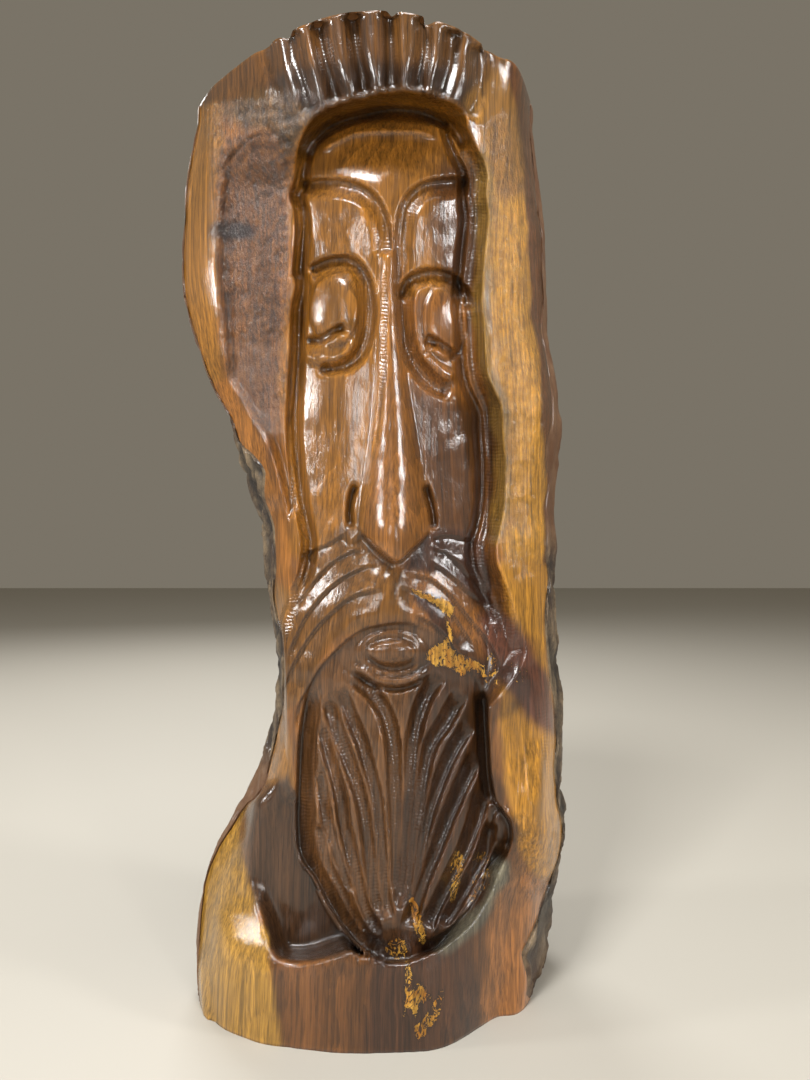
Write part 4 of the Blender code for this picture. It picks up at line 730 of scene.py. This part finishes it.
# Spacing of the grid's rows at these shares of the rise, in pattern millimetres
rowSpacing = pairs(0, 1.3, 0.09, 1.2, 0.11, 0.95, 0.34, 0.85, 0.5, 0.75, 0.53, 1.1, 0.61, 1.2, 0.64, 0.85,
    0.9, 0.85, 0.93, 1.3, 1, 1.3)
# Width of the bark seen from the front along each flank: height, width
barkEdgeLeft = pairs(0, 1, 90, 1, 95, 1.3, 108, 3.8, 125, 3.4, 137, 4.6, 152, 4.6, 171, 3.8, 192, 5,
    209, 5.9, 221, 7.1, 228, 7.9, 236, 5.9, 244, 3.4, 262, 1.2, 300, 1, 400, 1)
barkEdgeRight = pairs(0, 2, 22, 5, 28, 8.4, 45, 11.7, 62, 7.5, 79, 3.4, 100, 2.5, 133, 5, 154, 5,
    187, 4.2, 217, 4.2, 246, 5, 284, 2.9, 325, 2.5, 363, 2.5, 380, 1.3, 400, 1)


def rowRises():    # the rows of the grid, as shares of the rise from foot to top
    rise, rises = 0.0, []
    while rise < 1.0:
        rises.append(rise)
        rise += readAt(rowSpacing, rise) / drawnHeight
    rises.append(1.0)
    return np.array(rises)


def woodEdges(rise):    # shares of the width where the wood gives way to bark on each row
    ends, heights = frontPlaces(np.tile([0.0, 1.0], (len(rise), 1)), rise)
    width = ends[:, 1] - ends[:, 0]
    ragged = tooling["barkEdge"] * unevenness(np.zeros(len(rise)), heights[:, 0], tooling["barkEdgeSize"], 3)
    left, right = readAt(barkEdgeLeft, heights[:, 0]), readAt(barkEdgeRight, heights[:, 1])
    return left * (1 + ragged) / width, 1.0 - right * (1 + ragged) / width


def woodShares(rise):    # the columns of the grid on each row, as shares of the width
    low, high = woodEdges(rise)
    left, right = guideShares(leftGuide, rise), guideShares(rightGuide, rise)
    zones = []
    for start, end, columns in zip((low, left, right), (left, right, high), gridColumns):
        steps = np.arange(columns) / columns
        zones.append(start[:, None] + (end - start)[:, None] * steps)
    return np.hstack(zones + [high[:, None]])


# From the right edge of each row round the back of the log to its left edge
def backLoft(right, left, columns, inset, shrink=0.0):
    turn = np.linspace(0.0, math.pi, columns + 2)[1:-1]
    middle = (right + left)[:, None] / 2
    half = (right - left)[:, None] / 2
    width = half[..., 0]
    depth = backDepth * patternScale * (0.55 + 0.45 * width / width.max()) - inset * patternScale
    back = middle + half * (1.0 - shrink * patternScale / width[..., None]) * np.cos(turn)[:, None]
    back[..., 1] += depth * np.sin(turn) ** 0.85
    return back


def closeRings(rings):    # a closed skin over rings of points, with one flat face at each end
    rows, around = rings.shape[:2]
    index = np.arange(rows * around).reshape(rows, around)
    following = np.roll(index, -1, axis=1)
    walls = np.stack([index[:-1], following[:-1], following[1:], index[1:]], axis=-1).reshape(-1, 4)
    return walls.tolist() + [index[0][::-1].tolist(), index[-1].tolist()]


def buildMesh(name, points, faces):
    mesh = bpy.data.meshes.new(name)
    mesh.from_pydata(points.reshape(-1, 3).tolist(), [], faces)
    mesh.update()
    smoothFlags = np.ones(len(mesh.polygons), bool)
    smoothFlags[-2:] = False
    mesh.polygons.foreach_set("use_smooth", smoothFlags)
    return mesh


def placePiece(name, data):
    piece = bpy.data.objects.new(name, data)
    bpy.context.scene.collection.objects.link(piece)
    return piece


def addFloats(mesh, name, values, domain="POINT"):
    numbers = np.asarray(values, np.float32).ravel()
    mesh.attributes.new(name, "FLOAT", domain).data.foreach_set("value", numbers)


def carveFront(rise, share):
    across, height = frontPlaces(share, rise)
    surface = CarvedSurface(across, height)
    surface.lift = uncutLift(share, rise).ravel()
    cutFlutes(surface, burr=0.25)
    scoopHollows(surface)
    cutRecess(surface)
    cutBrowAndEyes(surface)
    raiseNose(surface)
    cutMoustache(surface)
    carveBeard(surface)
    knifeCuts(surface)
    paintWood(surface)
    roughen(surface)
    return across, height, surface


def sawEnds(front, rise):    # the first and last rows land on the saw cuts, and the rows near them make way
    top = drawnHeight * patternScale
    front[..., 2] -= (front[-1:, :, 2] - top) * fadeIn("sawnTop", rise[:, None])
    front[..., 2] -= front[:1, :, 2] * fadeIn("sawnFoot", rise[:, None])
    return front


def buildCarvedWood():
    rise = rowRises()
    share = woodShares(rise)
    across, height, surface = carveFront(rise, share)
    front = toMetres(across, height, surface.lift.reshape(across.shape))
    front = sawEnds(front, rise)
    back = backLoft(front[:, -1], front[:, 0], hiddenColumns, 4.0, 4.0)
    rings = np.concatenate([front, back], axis=1)
    rings[0, :, 2], rings[-1, :, 2] = 0.0, drawnHeight * patternScale
    mesh = buildMesh("carvedWood", rings - logCentre, closeRings(rings))
    hidden = ((0, 0), (0, hiddenColumns))
    for name, values in (surface.marks | {"burrRun": surface.burrRun}).items():
        addFloats(mesh, name, np.pad(values.reshape(across.shape), hidden, mode="edge"))
    tone = np.pad(surface.tone.reshape(across.shape + (3,)), hidden + ((0, 0),), mode="edge").reshape(-1, 3)
    colours = np.hstack([tone, np.ones((len(tone), 1))]).astype(np.float32)
    mesh.attributes.new("tone", "FLOAT_COLOR", "POINT").data.foreach_set("color", colours.ravel())
    sawn = np.zeros(len(mesh.polygons))
    sawn[-2:] = 1.0
    addFloats(mesh, "sawn", sawn, "FACE")
    return placePiece("carvedWood", mesh)


# The bark: thickness of its coat, size of its plates and depth of its furrows, in millimetres
bark = {
    "coat": 2.4, "plateWidth": 8.5, "plateHeight": 46.0, "furrow": 2.8, "flake": 0.55, "flakeSize": 4.0,
    "seed": 4.0,
    "light": "#7d6a50", "dark": "#38281a", "innerBark": "#6b4220", "roughness": 0.7,
}
barkColumns = (16, 16, 130, 8)    # columns on the right flank, the left flank, the back and the inside
# How rough the bark is up each flank: height, share of its full furrows
roughnessLeft = pairs(0, 0.3, 95, 0.4, 108, 1, 245, 1, 262, 0.5, 400, 0.35)
roughnessRight = pairs(0, 0.7, 30, 1, 190, 1, 206, 0.35, 400, 0.25)


def flankPatch(share, climb, rise, roughness):    # bark seen from the front, out of the wood to the outline
    across, height = frontPlaces(share, rise)
    thickness = bark["coat"] * readAt(roughness, height)
    coat = thickness * smooth(climb * 4.0) * smooth((1.0 - climb) * 3.0)
    lift = uncutLift(share, rise) - 1.5 * (1.0 - smooth(climb * 4.0)) + coat
    return toMetres(across, height, lift)


def buildBarkShell():    # the bare coat of bark, closed inside against the wood
    rise = rowRises()
    low, high = woodEdges(rise)
    rightColumns, leftColumns, backColumns, innerColumns = barkColumns
    rightClimb = np.linspace(-0.1, 1.0, rightColumns)
    leftClimb = np.linspace(1.0, -0.1, leftColumns)
    rightShare = high[:, None] + (1.0 - high[:, None]) * rightClimb
    leftShare = low[:, None] * (1.0 - leftClimb)
    right = flankPatch(rightShare, np.clip(rightClimb, 0, 1), rise, roughnessRight)
    left = flankPatch(leftShare, np.clip(leftClimb, 0, 1), rise, roughnessLeft)
    outer = backLoft(right[:, -1], left[:, 0], backColumns, 0.0)
    inner = backLoft(right[:, 0], left[:, -1], innerColumns, 3.0, 3.0)[:, ::-1]
    rings = np.concatenate([right, outer, left, inner], axis=1)
    top = (drawnHeight - 0.4) * patternScale
    rings[..., 2] = np.clip(rings[..., 2], 0.0, top)
    rings[0, :, 2], rings[-1, :, 2] = 0.0, top

    height = rings[..., 2] / patternScale
    hidden = np.zeros(innerColumns)
    across = np.linspace(1, 0, backColumns)
    sides = np.concatenate([np.ones(rightColumns), across, np.zeros(leftColumns), hidden])
    roundBack = np.sin(np.linspace(0, math.pi, backColumns)) ** 0.5
    behind = np.concatenate([0 * rightClimb, roundBack, 0 * leftClimb, hidden])
    furrowed = readAt(roughnessRight, height) * sides + readAt(roughnessLeft, height) * (1.0 - sides)
    furrowed = furrowed + (1.0 - furrowed) * behind
    free = [smooth(rightClimb * 3.0), np.ones(backColumns), smooth(leftClimb * 3.0), hidden]
    mesh = buildMesh("barkShell", rings - logCentre, closeRings(rings))
    addFloats(mesh, "furrowed", furrowed * np.concatenate(free))
    addFloats(mesh, "smoothBark", (1.0 - furrowed) * (1.0 - behind))
    return placePiece("barkShell", mesh)


def addNode(tree, kind, links=(), **settings):    # a node, its settings, what feeds or fixes each input
    node = tree.nodes.new(kind)
    for name, value in settings.items():
        setattr(node, name, value)
    for socket, value in dict(links).items():
        if hasattr(value, "is_output"):
            tree.links.new(value, node.inputs[socket])
        else:
            node.inputs[socket].default_value = value
    return node


def mathNode(tree, operation, first, second=0.0, third=0.0, clamp=False):
    links = {0: first, 1: second} if operation != "MULTIPLY_ADD" else {0: first, 1: second, 2: third}
    return addNode(tree, "ShaderNodeMath", links, operation=operation, use_clamp=clamp).outputs[0]


def vectorNode(tree, operation, first, second):
    return addNode(tree, "ShaderNodeVectorMath", {0: first, 1: second}, operation=operation).outputs[0]


def scaled(tree, vector, factor):
    return addNode(tree, "ShaderNodeVectorMath", {0: vector, "Scale": factor}, operation="SCALE").outputs[0]


def noise(tree, place, detail, roughness=0.5, distortion=0.0, scale=1.0, output="Fac"):
    links = {"Vector": place, "Scale": scale, "Detail": detail, "Roughness": roughness,
             "Distortion": distortion}
    return addNode(tree, "ShaderNodeTexNoise", links).outputs[output]


def remap(tree, value, low, high, start=0.0, end=1.0, kind="LINEAR"):
    links = {"Value": value, "From Min": low, "From Max": high, "To Min": start, "To Max": end}
    return addNode(tree, "ShaderNodeMapRange", links, interpolation_type=kind).outputs[0]


def buildBarkTree(material):    # furrows between long plates, and flakes on the plates
    tree = bpy.data.node_groups.new("barkFurrows", "GeometryNodeTree")
    tree.interface.new_socket("Geometry", in_out="INPUT", socket_type="NodeSocketGeometry")
    for name in ("Plate width", "Plate height", "Furrow depth", "Flake size", "Flake height", "Seed"):
        tree.interface.new_socket(name, in_out="INPUT", socket_type="NodeSocketFloat")
    tree.interface.new_socket("Geometry", in_out="OUTPUT", socket_type="NodeSocketGeometry")
    given = tree.nodes.new("NodeGroupInput").outputs
    place = addNode(tree, "GeometryNodeInputPosition").outputs[0]
    wander = noise(tree, place, 2.0, scale=22.0, output="Color")
    wander = vectorNode(tree, "SUBTRACT", wander, (0.5, 0.5, 0.5))
    bent = vectorNode(tree, "ADD", place, stretched(tree, wander, (0.02, 0.02, 0.03)))
    width, tall = given["Plate width"], given["Plate height"]
    plateSize = addNode(tree, "ShaderNodeCombineXYZ", {0: width, 1: width, 2: tall}).outputs[0]
    plates = vectorNode(tree, "ADD", vectorNode(tree, "DIVIDE", bent, plateSize), given["Seed"])
    cells = {"Vector": plates, "Scale": 1.0}
    edges = addNode(tree, "ShaderNodeTexVoronoi", cells, feature="DISTANCE_TO_EDGE").outputs["Distance"]
    furrow = remap(tree, edges, 0.0, 0.26, 1.0, 0.0, "SMOOTHSTEP")
    flakes = stretched(tree, vectorNode(tree, "DIVIDE", bent, given["Flake size"]), (1.0, 1.0, 0.35))
    flake = addNode(tree, "ShaderNodeTexVoronoi", {"Vector": flakes, "Scale": 1.0}).outputs["Color"]
    flake = addNode(tree, "ShaderNodeSeparateXYZ", {0: flake}).outputs[0]
    grit = noise(tree, place, 3.0, scale=420.0)
    flake, grit = mathNode(tree, "SUBTRACT", flake, 0.5), mathNode(tree, "SUBTRACT", grit, 0.5)
    raised = mathNode(tree, "MULTIPLY", mathNode(tree, "ADD", flake, grit), given["Flake height"])
    cut = mathNode(tree, "SUBTRACT", raised, mathNode(tree, "MULTIPLY", furrow, given["Furrow depth"]))
    share = addNode(tree, "GeometryNodeInputNamedAttribute", {"Name": "furrowed"}, data_type="FLOAT")
    share = share.outputs[0]
    level = stretched(tree, addNode(tree, "GeometryNodeInputNormal").outputs[0], (1.0, 1.0, 0.0))
    offset = scaled(tree, level, mathNode(tree, "MULTIPLY", cut, share))
    depth = mathNode(tree, "MULTIPLY", furrow, share)
    # The furrow depth is kept for the painted shade in the bark's furrows.
    furrowShadeDepth = {"Geometry": given["Geometry"], "Name": "furrowShadeDepth", "Value": depth}
    furrowShadeDepth = addNode(tree, "GeometryNodeStoreNamedAttribute", furrowShadeDepth).outputs[0]
    moved = addNode(tree, "GeometryNodeSetPosition", {"Geometry": furrowShadeDepth, "Offset": offset}).outputs[0]
    realised = addNode(tree, "GeometryNodeRealizeInstances", {0: moved}).outputs[0]
    dressed = {"Geometry": realised, "Material": material}
    dressed = addNode(tree, "GeometryNodeSetMaterial", dressed).outputs[0]
    addNode(tree, "NodeGroupOutput", {0: dressed})
    return tree


def buildBark(material):
    shell = buildBarkShell()
    tree = buildBarkTree(material)
    grower = shell.modifiers.new("furrows", "NODES")
    grower.node_group = tree
    sizes = {"Plate width": "plateWidth", "Plate height": "plateHeight", "Furrow depth": "furrow",
             "Flake size": "flakeSize", "Flake height": "flake"}
    wanted = {label: bark[name] * patternScale for label, name in sizes.items()} | {"Seed": bark["seed"]}
    for item in tree.interface.items_tree:
        if item.in_out == "INPUT" and item.name in wanted:
            grower[item.identifier] = wanted[item.name]
    bpy.context.view_layer.update()
    grown = shell.evaluated_get(bpy.context.evaluated_depsgraph_get())
    piece = placePiece("barkCoat", bpy.data.meshes.new_from_object(grown))
    bpy.data.objects.remove(shell)
    return piece


# The finish of the wood: a thick gloss varnish over hand-carved olive-brown wood
finish = {
    "varnish": 1.0, "varnishRoughness": 0.06, "woodRoughness": 0.45, "woodSheen": 0.2,
    "ringWidth": 3.4, "ringContrast": 0.35, "streakContrast": 0.75, "poreShade": 0.6,
    "burrPitch": 1.5, "burrDepth": 0.05, "fibreDepth": 0.09,
    "stainAndCreaseShade": "#1f110a", "rot": "#925e1c", "rotPale": "#c0913c", "endLight": "#8a5c31", "endDark": "#5d3a1c",
}


def startMaterial(name):
    material = bpy.data.materials.new(name)
    material.use_nodes = True
    return material, material.node_tree, material.node_tree.nodes["Principled BSDF"]


def mixColours(tree, factor, first, second, blend="MIX"):
    links = {"Factor": factor, 6: first, 7: second}
    return addNode(tree, "ShaderNodeMix", links, data_type="RGBA", blend_type=blend).outputs[2]


def solid(hexColour):
    return (*toLinear(hexColour), 1.0)


def attribute(tree, name, output="Fac"):
    return addNode(tree, "ShaderNodeAttribute", attribute_name=name).outputs[output]


def stretched(tree, place, scale):    # object coordinates stretched by this much each way
    return vectorNode(tree, "MULTIPLY", place, scale)


def woodMaterial():    # glossy varnish over streaked brown wood: sharp glints on every cut
    material, tree, shader = startMaterial("varnishedCarvedWood")
    place = addNode(tree, "ShaderNodeTexCoord").outputs["Object"]
    drift = noise(tree, stretched(tree, place, (9.0, 9.0, 3.5)), 3.0, output="Color")
    bent = vectorNode(tree, "ADD", place, stretched(tree, drift, (0.03, 0.03, 0.0)))
    waves = {"Vector": stretched(tree, bent, (1.0, 1.0, 0.06)), "Distortion": 2.5, "Detail": 3.0,
             "Detail Scale": 1.4, "Scale": 0.314 / (finish["ringWidth"] * 0.001)}
    rings = addNode(tree, "ShaderNodeTexWave", waves, wave_type="RINGS", rings_direction="Z",
                    wave_profile="SAW").outputs["Fac"]
    streaks = noise(tree, stretched(tree, bent, (800.0, 800.0, 26.0)), 4.0, 0.65)
    broad = noise(tree, stretched(tree, bent, (60.0, 60.0, 7.0)), 3.0)
    pores = noise(tree, stretched(tree, bent, (1700.0, 1700.0, 70.0)), 2.0)
    mottle = noise(tree, stretched(tree, place, (330.0, 330.0, 240.0)), 5.0, 0.7)
    mottle = remap(tree, mottle, 0.35, 0.65, -0.55, 0.55)
    # Pointiness darkens the colour in creases and channels and lightens it on ridges: painted shade and
    # painted light.
    creaseShadeAndRidgeLight = addNode(tree, "ShaderNodeNewGeometry").outputs["Pointiness"]
    ringContrast, streakContrast = finish["ringContrast"], finish["streakContrast"]
    shade = remap(tree, rings, 0.0, 1.0, 1.0 + 0.3 * ringContrast, 1.0 - 0.7 * ringContrast)
    for factor in (
        remap(tree, streaks, 0.35, 0.65, 1.0 + 0.4 * streakContrast, 1.0 - 0.6 * streakContrast),
        remap(tree, broad, 0.3, 0.7, 1.3, 0.7),
        remap(tree, pores, 0.52, 0.66, 1.0, finish["poreShade"]),
        mathNode(tree, "MULTIPLY_ADD", mottle, attribute(tree, "rough"), 1.0),
        remap(tree, creaseShadeAndRidgeLight, 0.42, 0.56, 0.4, 1.4),
    ):
        shade = mathNode(tree, "MULTIPLY", shade, factor)
    colour = scaled(tree, attribute(tree, "tone", "Color"), shade)

    blotch = noise(tree, stretched(tree, place, (130.0, 130.0, 80.0)), 4.0, 0.65)
    stainAndShadeCover = remap(tree, blotch, 0.3, 0.6, 0.6, 1.2)
    # This mask holds real stains and the dark crease lines along the shingled edges, which are partly painted
    # shade.
    stainAndShadeCover = mathNode(tree, "MULTIPLY", attribute(tree, "stainAndCreaseShade"), stainAndShadeCover, clamp=True)
    colour = mixColours(tree, stainAndShadeCover, colour, solid(finish["stainAndCreaseShade"]))
    flecks = noise(tree, stretched(tree, place, (430.0, 430.0, 260.0)), 6.0, 0.66, 2.0)
    decay = attribute(tree, "rot")
    reached = mathNode(tree, "MULTIPLY_ADD", mathNode(tree, "SUBTRACT", flecks, 0.5), 2.2, decay)
    scorched = remap(tree, reached, 0.3, 0.55)
    scorched = mathNode(tree, "MULTIPLY", scorched, remap(tree, decay, 0.0, 0.3, 0.0, 0.85))
    colour = mixColours(tree, scorched, colour, solid(finish["stainAndCreaseShade"]))
    decayed = remap(tree, reached, 0.6, 0.68)
    decayed = mathNode(tree, "MULTIPLY", decayed, mathNode(tree, "GREATER_THAN", decay, 0.03))
    ochre = mixColours(tree, remap(tree, blotch, 0.4, 0.6), solid(finish["rot"]), solid(finish["rotPale"]))
    ochre = scaled(tree, ochre, remap(tree, streaks, 0.35, 0.65, 1.35, 0.5))
    colour = mixColours(tree, decayed, colour, ochre)
    endGrain = mixColours(tree, rings, solid(finish["endLight"]), solid(finish["endDark"]))
    colour = mixColours(tree, attribute(tree, "sawn"), colour, endGrain)
    tree.links.new(colour, shader.inputs["Base Color"])

    turns = mathNode(tree, "MULTIPLY", attribute(tree, "burrRun"), 2 * math.pi / finish["burrPitch"])
    ribs = mathNode(tree, "SINE", mathNode(tree, "MULTIPLY_ADD", blotch, 16.0, turns))    # uneven, as by hand
    ribs = mathNode(tree, "MULTIPLY", ribs, remap(tree, blotch, 0.35, 0.6, 0.3, 1.3))
    ribs = mathNode(tree, "MULTIPLY", ribs, attribute(tree, "burr"))
    ribs = mathNode(tree, "MULTIPLY", ribs, finish["burrDepth"])
    torn = noise(tree, stretched(tree, bent, (800.0, 800.0, 420.0)), 4.0, 0.65)
    tornDepth = mathNode(tree, "MULTIPLY_ADD", attribute(tree, "rough"), 1.5, 0.16)
    torn = mathNode(tree, "MULTIPLY", torn, tornDepth)
    fibres = mathNode(tree, "MULTIPLY_ADD", streaks, finish["fibreDepth"], torn)
    relief = mathNode(tree, "ADD", ribs, fibres)
    bump = addNode(tree, "ShaderNodeBump", {"Height": relief, "Distance": 0.001, "Strength": 0.8}).outputs[0]
    tree.links.new(bump, shader.inputs["Normal"])
    tree.links.new(bump, shader.inputs["Coat Normal"])
    dull, gloss = finish["woodRoughness"], finish["varnishRoughness"]
    tree.links.new(remap(tree, blotch, 0.3, 0.7, dull - 0.05, dull + 0.1), shader.inputs["Roughness"])
    tree.links.new(remap(tree, decayed, 0.0, 1.0, finish["varnish"], 0.25), shader.inputs["Coat Weight"])
    tree.links.new(remap(tree, blotch, 0.35, 0.65, gloss, gloss + 0.1), shader.inputs["Coat Roughness"])
    shader.inputs["Coat IOR"].default_value = 1.5
    shader.inputs["IOR"].default_value = 1.5
    shader.inputs["Specular IOR Level"].default_value = finish["woodSheen"]
    return material


def barkMaterial():    # dull dark bark, paler on its plates than in its furrows, which painted shade darkens, with the varnish only thin on it
    material, tree, shader = startMaterial("driedLogBark")
    place = addNode(tree, "ShaderNodeTexCoord").outputs["Object"]
    patchy = noise(tree, stretched(tree, place, (110.0, 110.0, 60.0)), 5.0, 0.7)
    grit = noise(tree, stretched(tree, place, (700.0, 700.0, 420.0)), 4.0, 0.7)
    colour = mixColours(tree, remap(tree, patchy, 0.42, 0.62), solid(bark["dark"]), solid(bark["light"]))
    # Furrows are darkened by their depth: painted shade.
    shade = remap(tree, attribute(tree, "furrowShadeDepth"), 0.0, 0.8, 1.1, 0.28)
    shade = mathNode(tree, "MULTIPLY", shade, remap(tree, grit, 0.3, 0.7, 0.65, 1.3))
    colour = scaled(tree, colour, shade)
    colour = mixColours(tree, attribute(tree, "smoothBark"), colour, solid(bark["innerBark"]))
    tree.links.new(colour, shader.inputs["Base Color"])
    relief = mathNode(tree, "MULTIPLY_ADD", grit, 0.5, patchy)
    bump = addNode(tree, "ShaderNodeBump", {"Height": relief, "Distance": 0.0012, "Strength": 0.7}).outputs[0]
    tree.links.new(bump, shader.inputs["Normal"])
    shader.inputs["Roughness"].default_value = bark["roughness"]
    shader.inputs["Coat Weight"].default_value = 0.35
    shader.inputs["Coat Roughness"].default_value = 0.2
    shader.inputs["IOR"].default_value = 1.5
    return material


# The studio: a plain pale floor and soft lamps, sizes in metres and power in watts
studio = {
    "floor": "#b4afa4", "floorSize": 6.0, "world": "#e8dcc6", "worldStrength": 0.24,
    "lamps": [    # name, place, width, height, power
        ("keyLamp", (-0.30, -0.65, 1.10), 0.24, 0.24, 12.0),
        ("leftLamp", (-1.40, -0.25, 0.60), 0.20, 0.20, 8.0),
        ("rightLamp", (1.35, -0.50, 0.75), 0.20, 0.20, 8.0),
        ("frontLeftLamp", (-0.61, -1.02, 0.42), 0.08, 0.30, 3.0),
        ("frontRightLamp", (0.61, -1.02, 0.36), 0.08, 0.30, 3.6),
        ("topLamp", (0.15, -0.15, 1.15), 0.40, 0.40, 4.5),
        ("backLamp", (-0.30, 0.95, 0.95), 0.60, 0.60, 9.0),
    ],
    "aim": (0.0, 0.0, 0.2),
    "camera": (0.0142, -0.3708, 0.2), "lens": 27.03,    # the carver's eye, as the log stands
}


def buildStudio():
    mesh = bpy.data.meshes.new("studioFloor")
    half = studio["floorSize"] / 2
    corners = [(-half, -half, 0), (half, -half, 0), (half, half, 0), (-half, half, 0)]
    mesh.from_pydata(corners, [], [(0, 1, 2, 3)])
    floor = placePiece("studioFloor", mesh)
    material, _, shader = startMaterial("paleMattFloor")    # bright and quiet under the dark wood
    shader.inputs["Base Color"].default_value = solid(studio["floor"])
    shader.inputs["Roughness"].default_value = 0.6
    floor.data.materials.append(material)

    world = bpy.data.worlds.new("softStudio")
    world.use_nodes = True
    background = world.node_tree.nodes["Background"]
    background.inputs["Color"].default_value = solid(studio["world"])
    background.inputs["Strength"].default_value = studio["worldStrength"]
    bpy.context.scene.world = world

    for name, place, width, tall, power in studio["lamps"]:
        data = bpy.data.lights.new(name, "AREA")
        data.shape, data.size, data.size_y, data.energy = "RECTANGLE", width, tall, power
        lamp = placePiece(name, data)
        lamp.location = place
        lamp.rotation_euler = (Vector(studio["aim"]) - Vector(place)).to_track_quat("-Z", "Y").to_euler()

    camera = placePiece("photoCamera", bpy.data.cameras.new("photoCamera"))
    camera.location = studio["camera"]
    camera.rotation_euler = (math.pi / 2, 0.0, 0.0)
    camera.data.lens = studio["lens"]
    camera.data.clip_start = 0.01
    bpy.context.scene.camera = camera


wood = buildCarvedWood()
wood.data.materials.append(woodMaterial())
print("carved wood:", len(wood.data.polygons), "faces")

barkCoat = buildBark(barkMaterial())
print("bark:", len(barkCoat.data.polygons), "faces")

for piece in (wood, barkCoat):
    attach(piece, "root")
    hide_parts("carved_log")

buildStudio()
bpy.context.scene.view_settings.view_transform = "Standard"
print("studio ready")
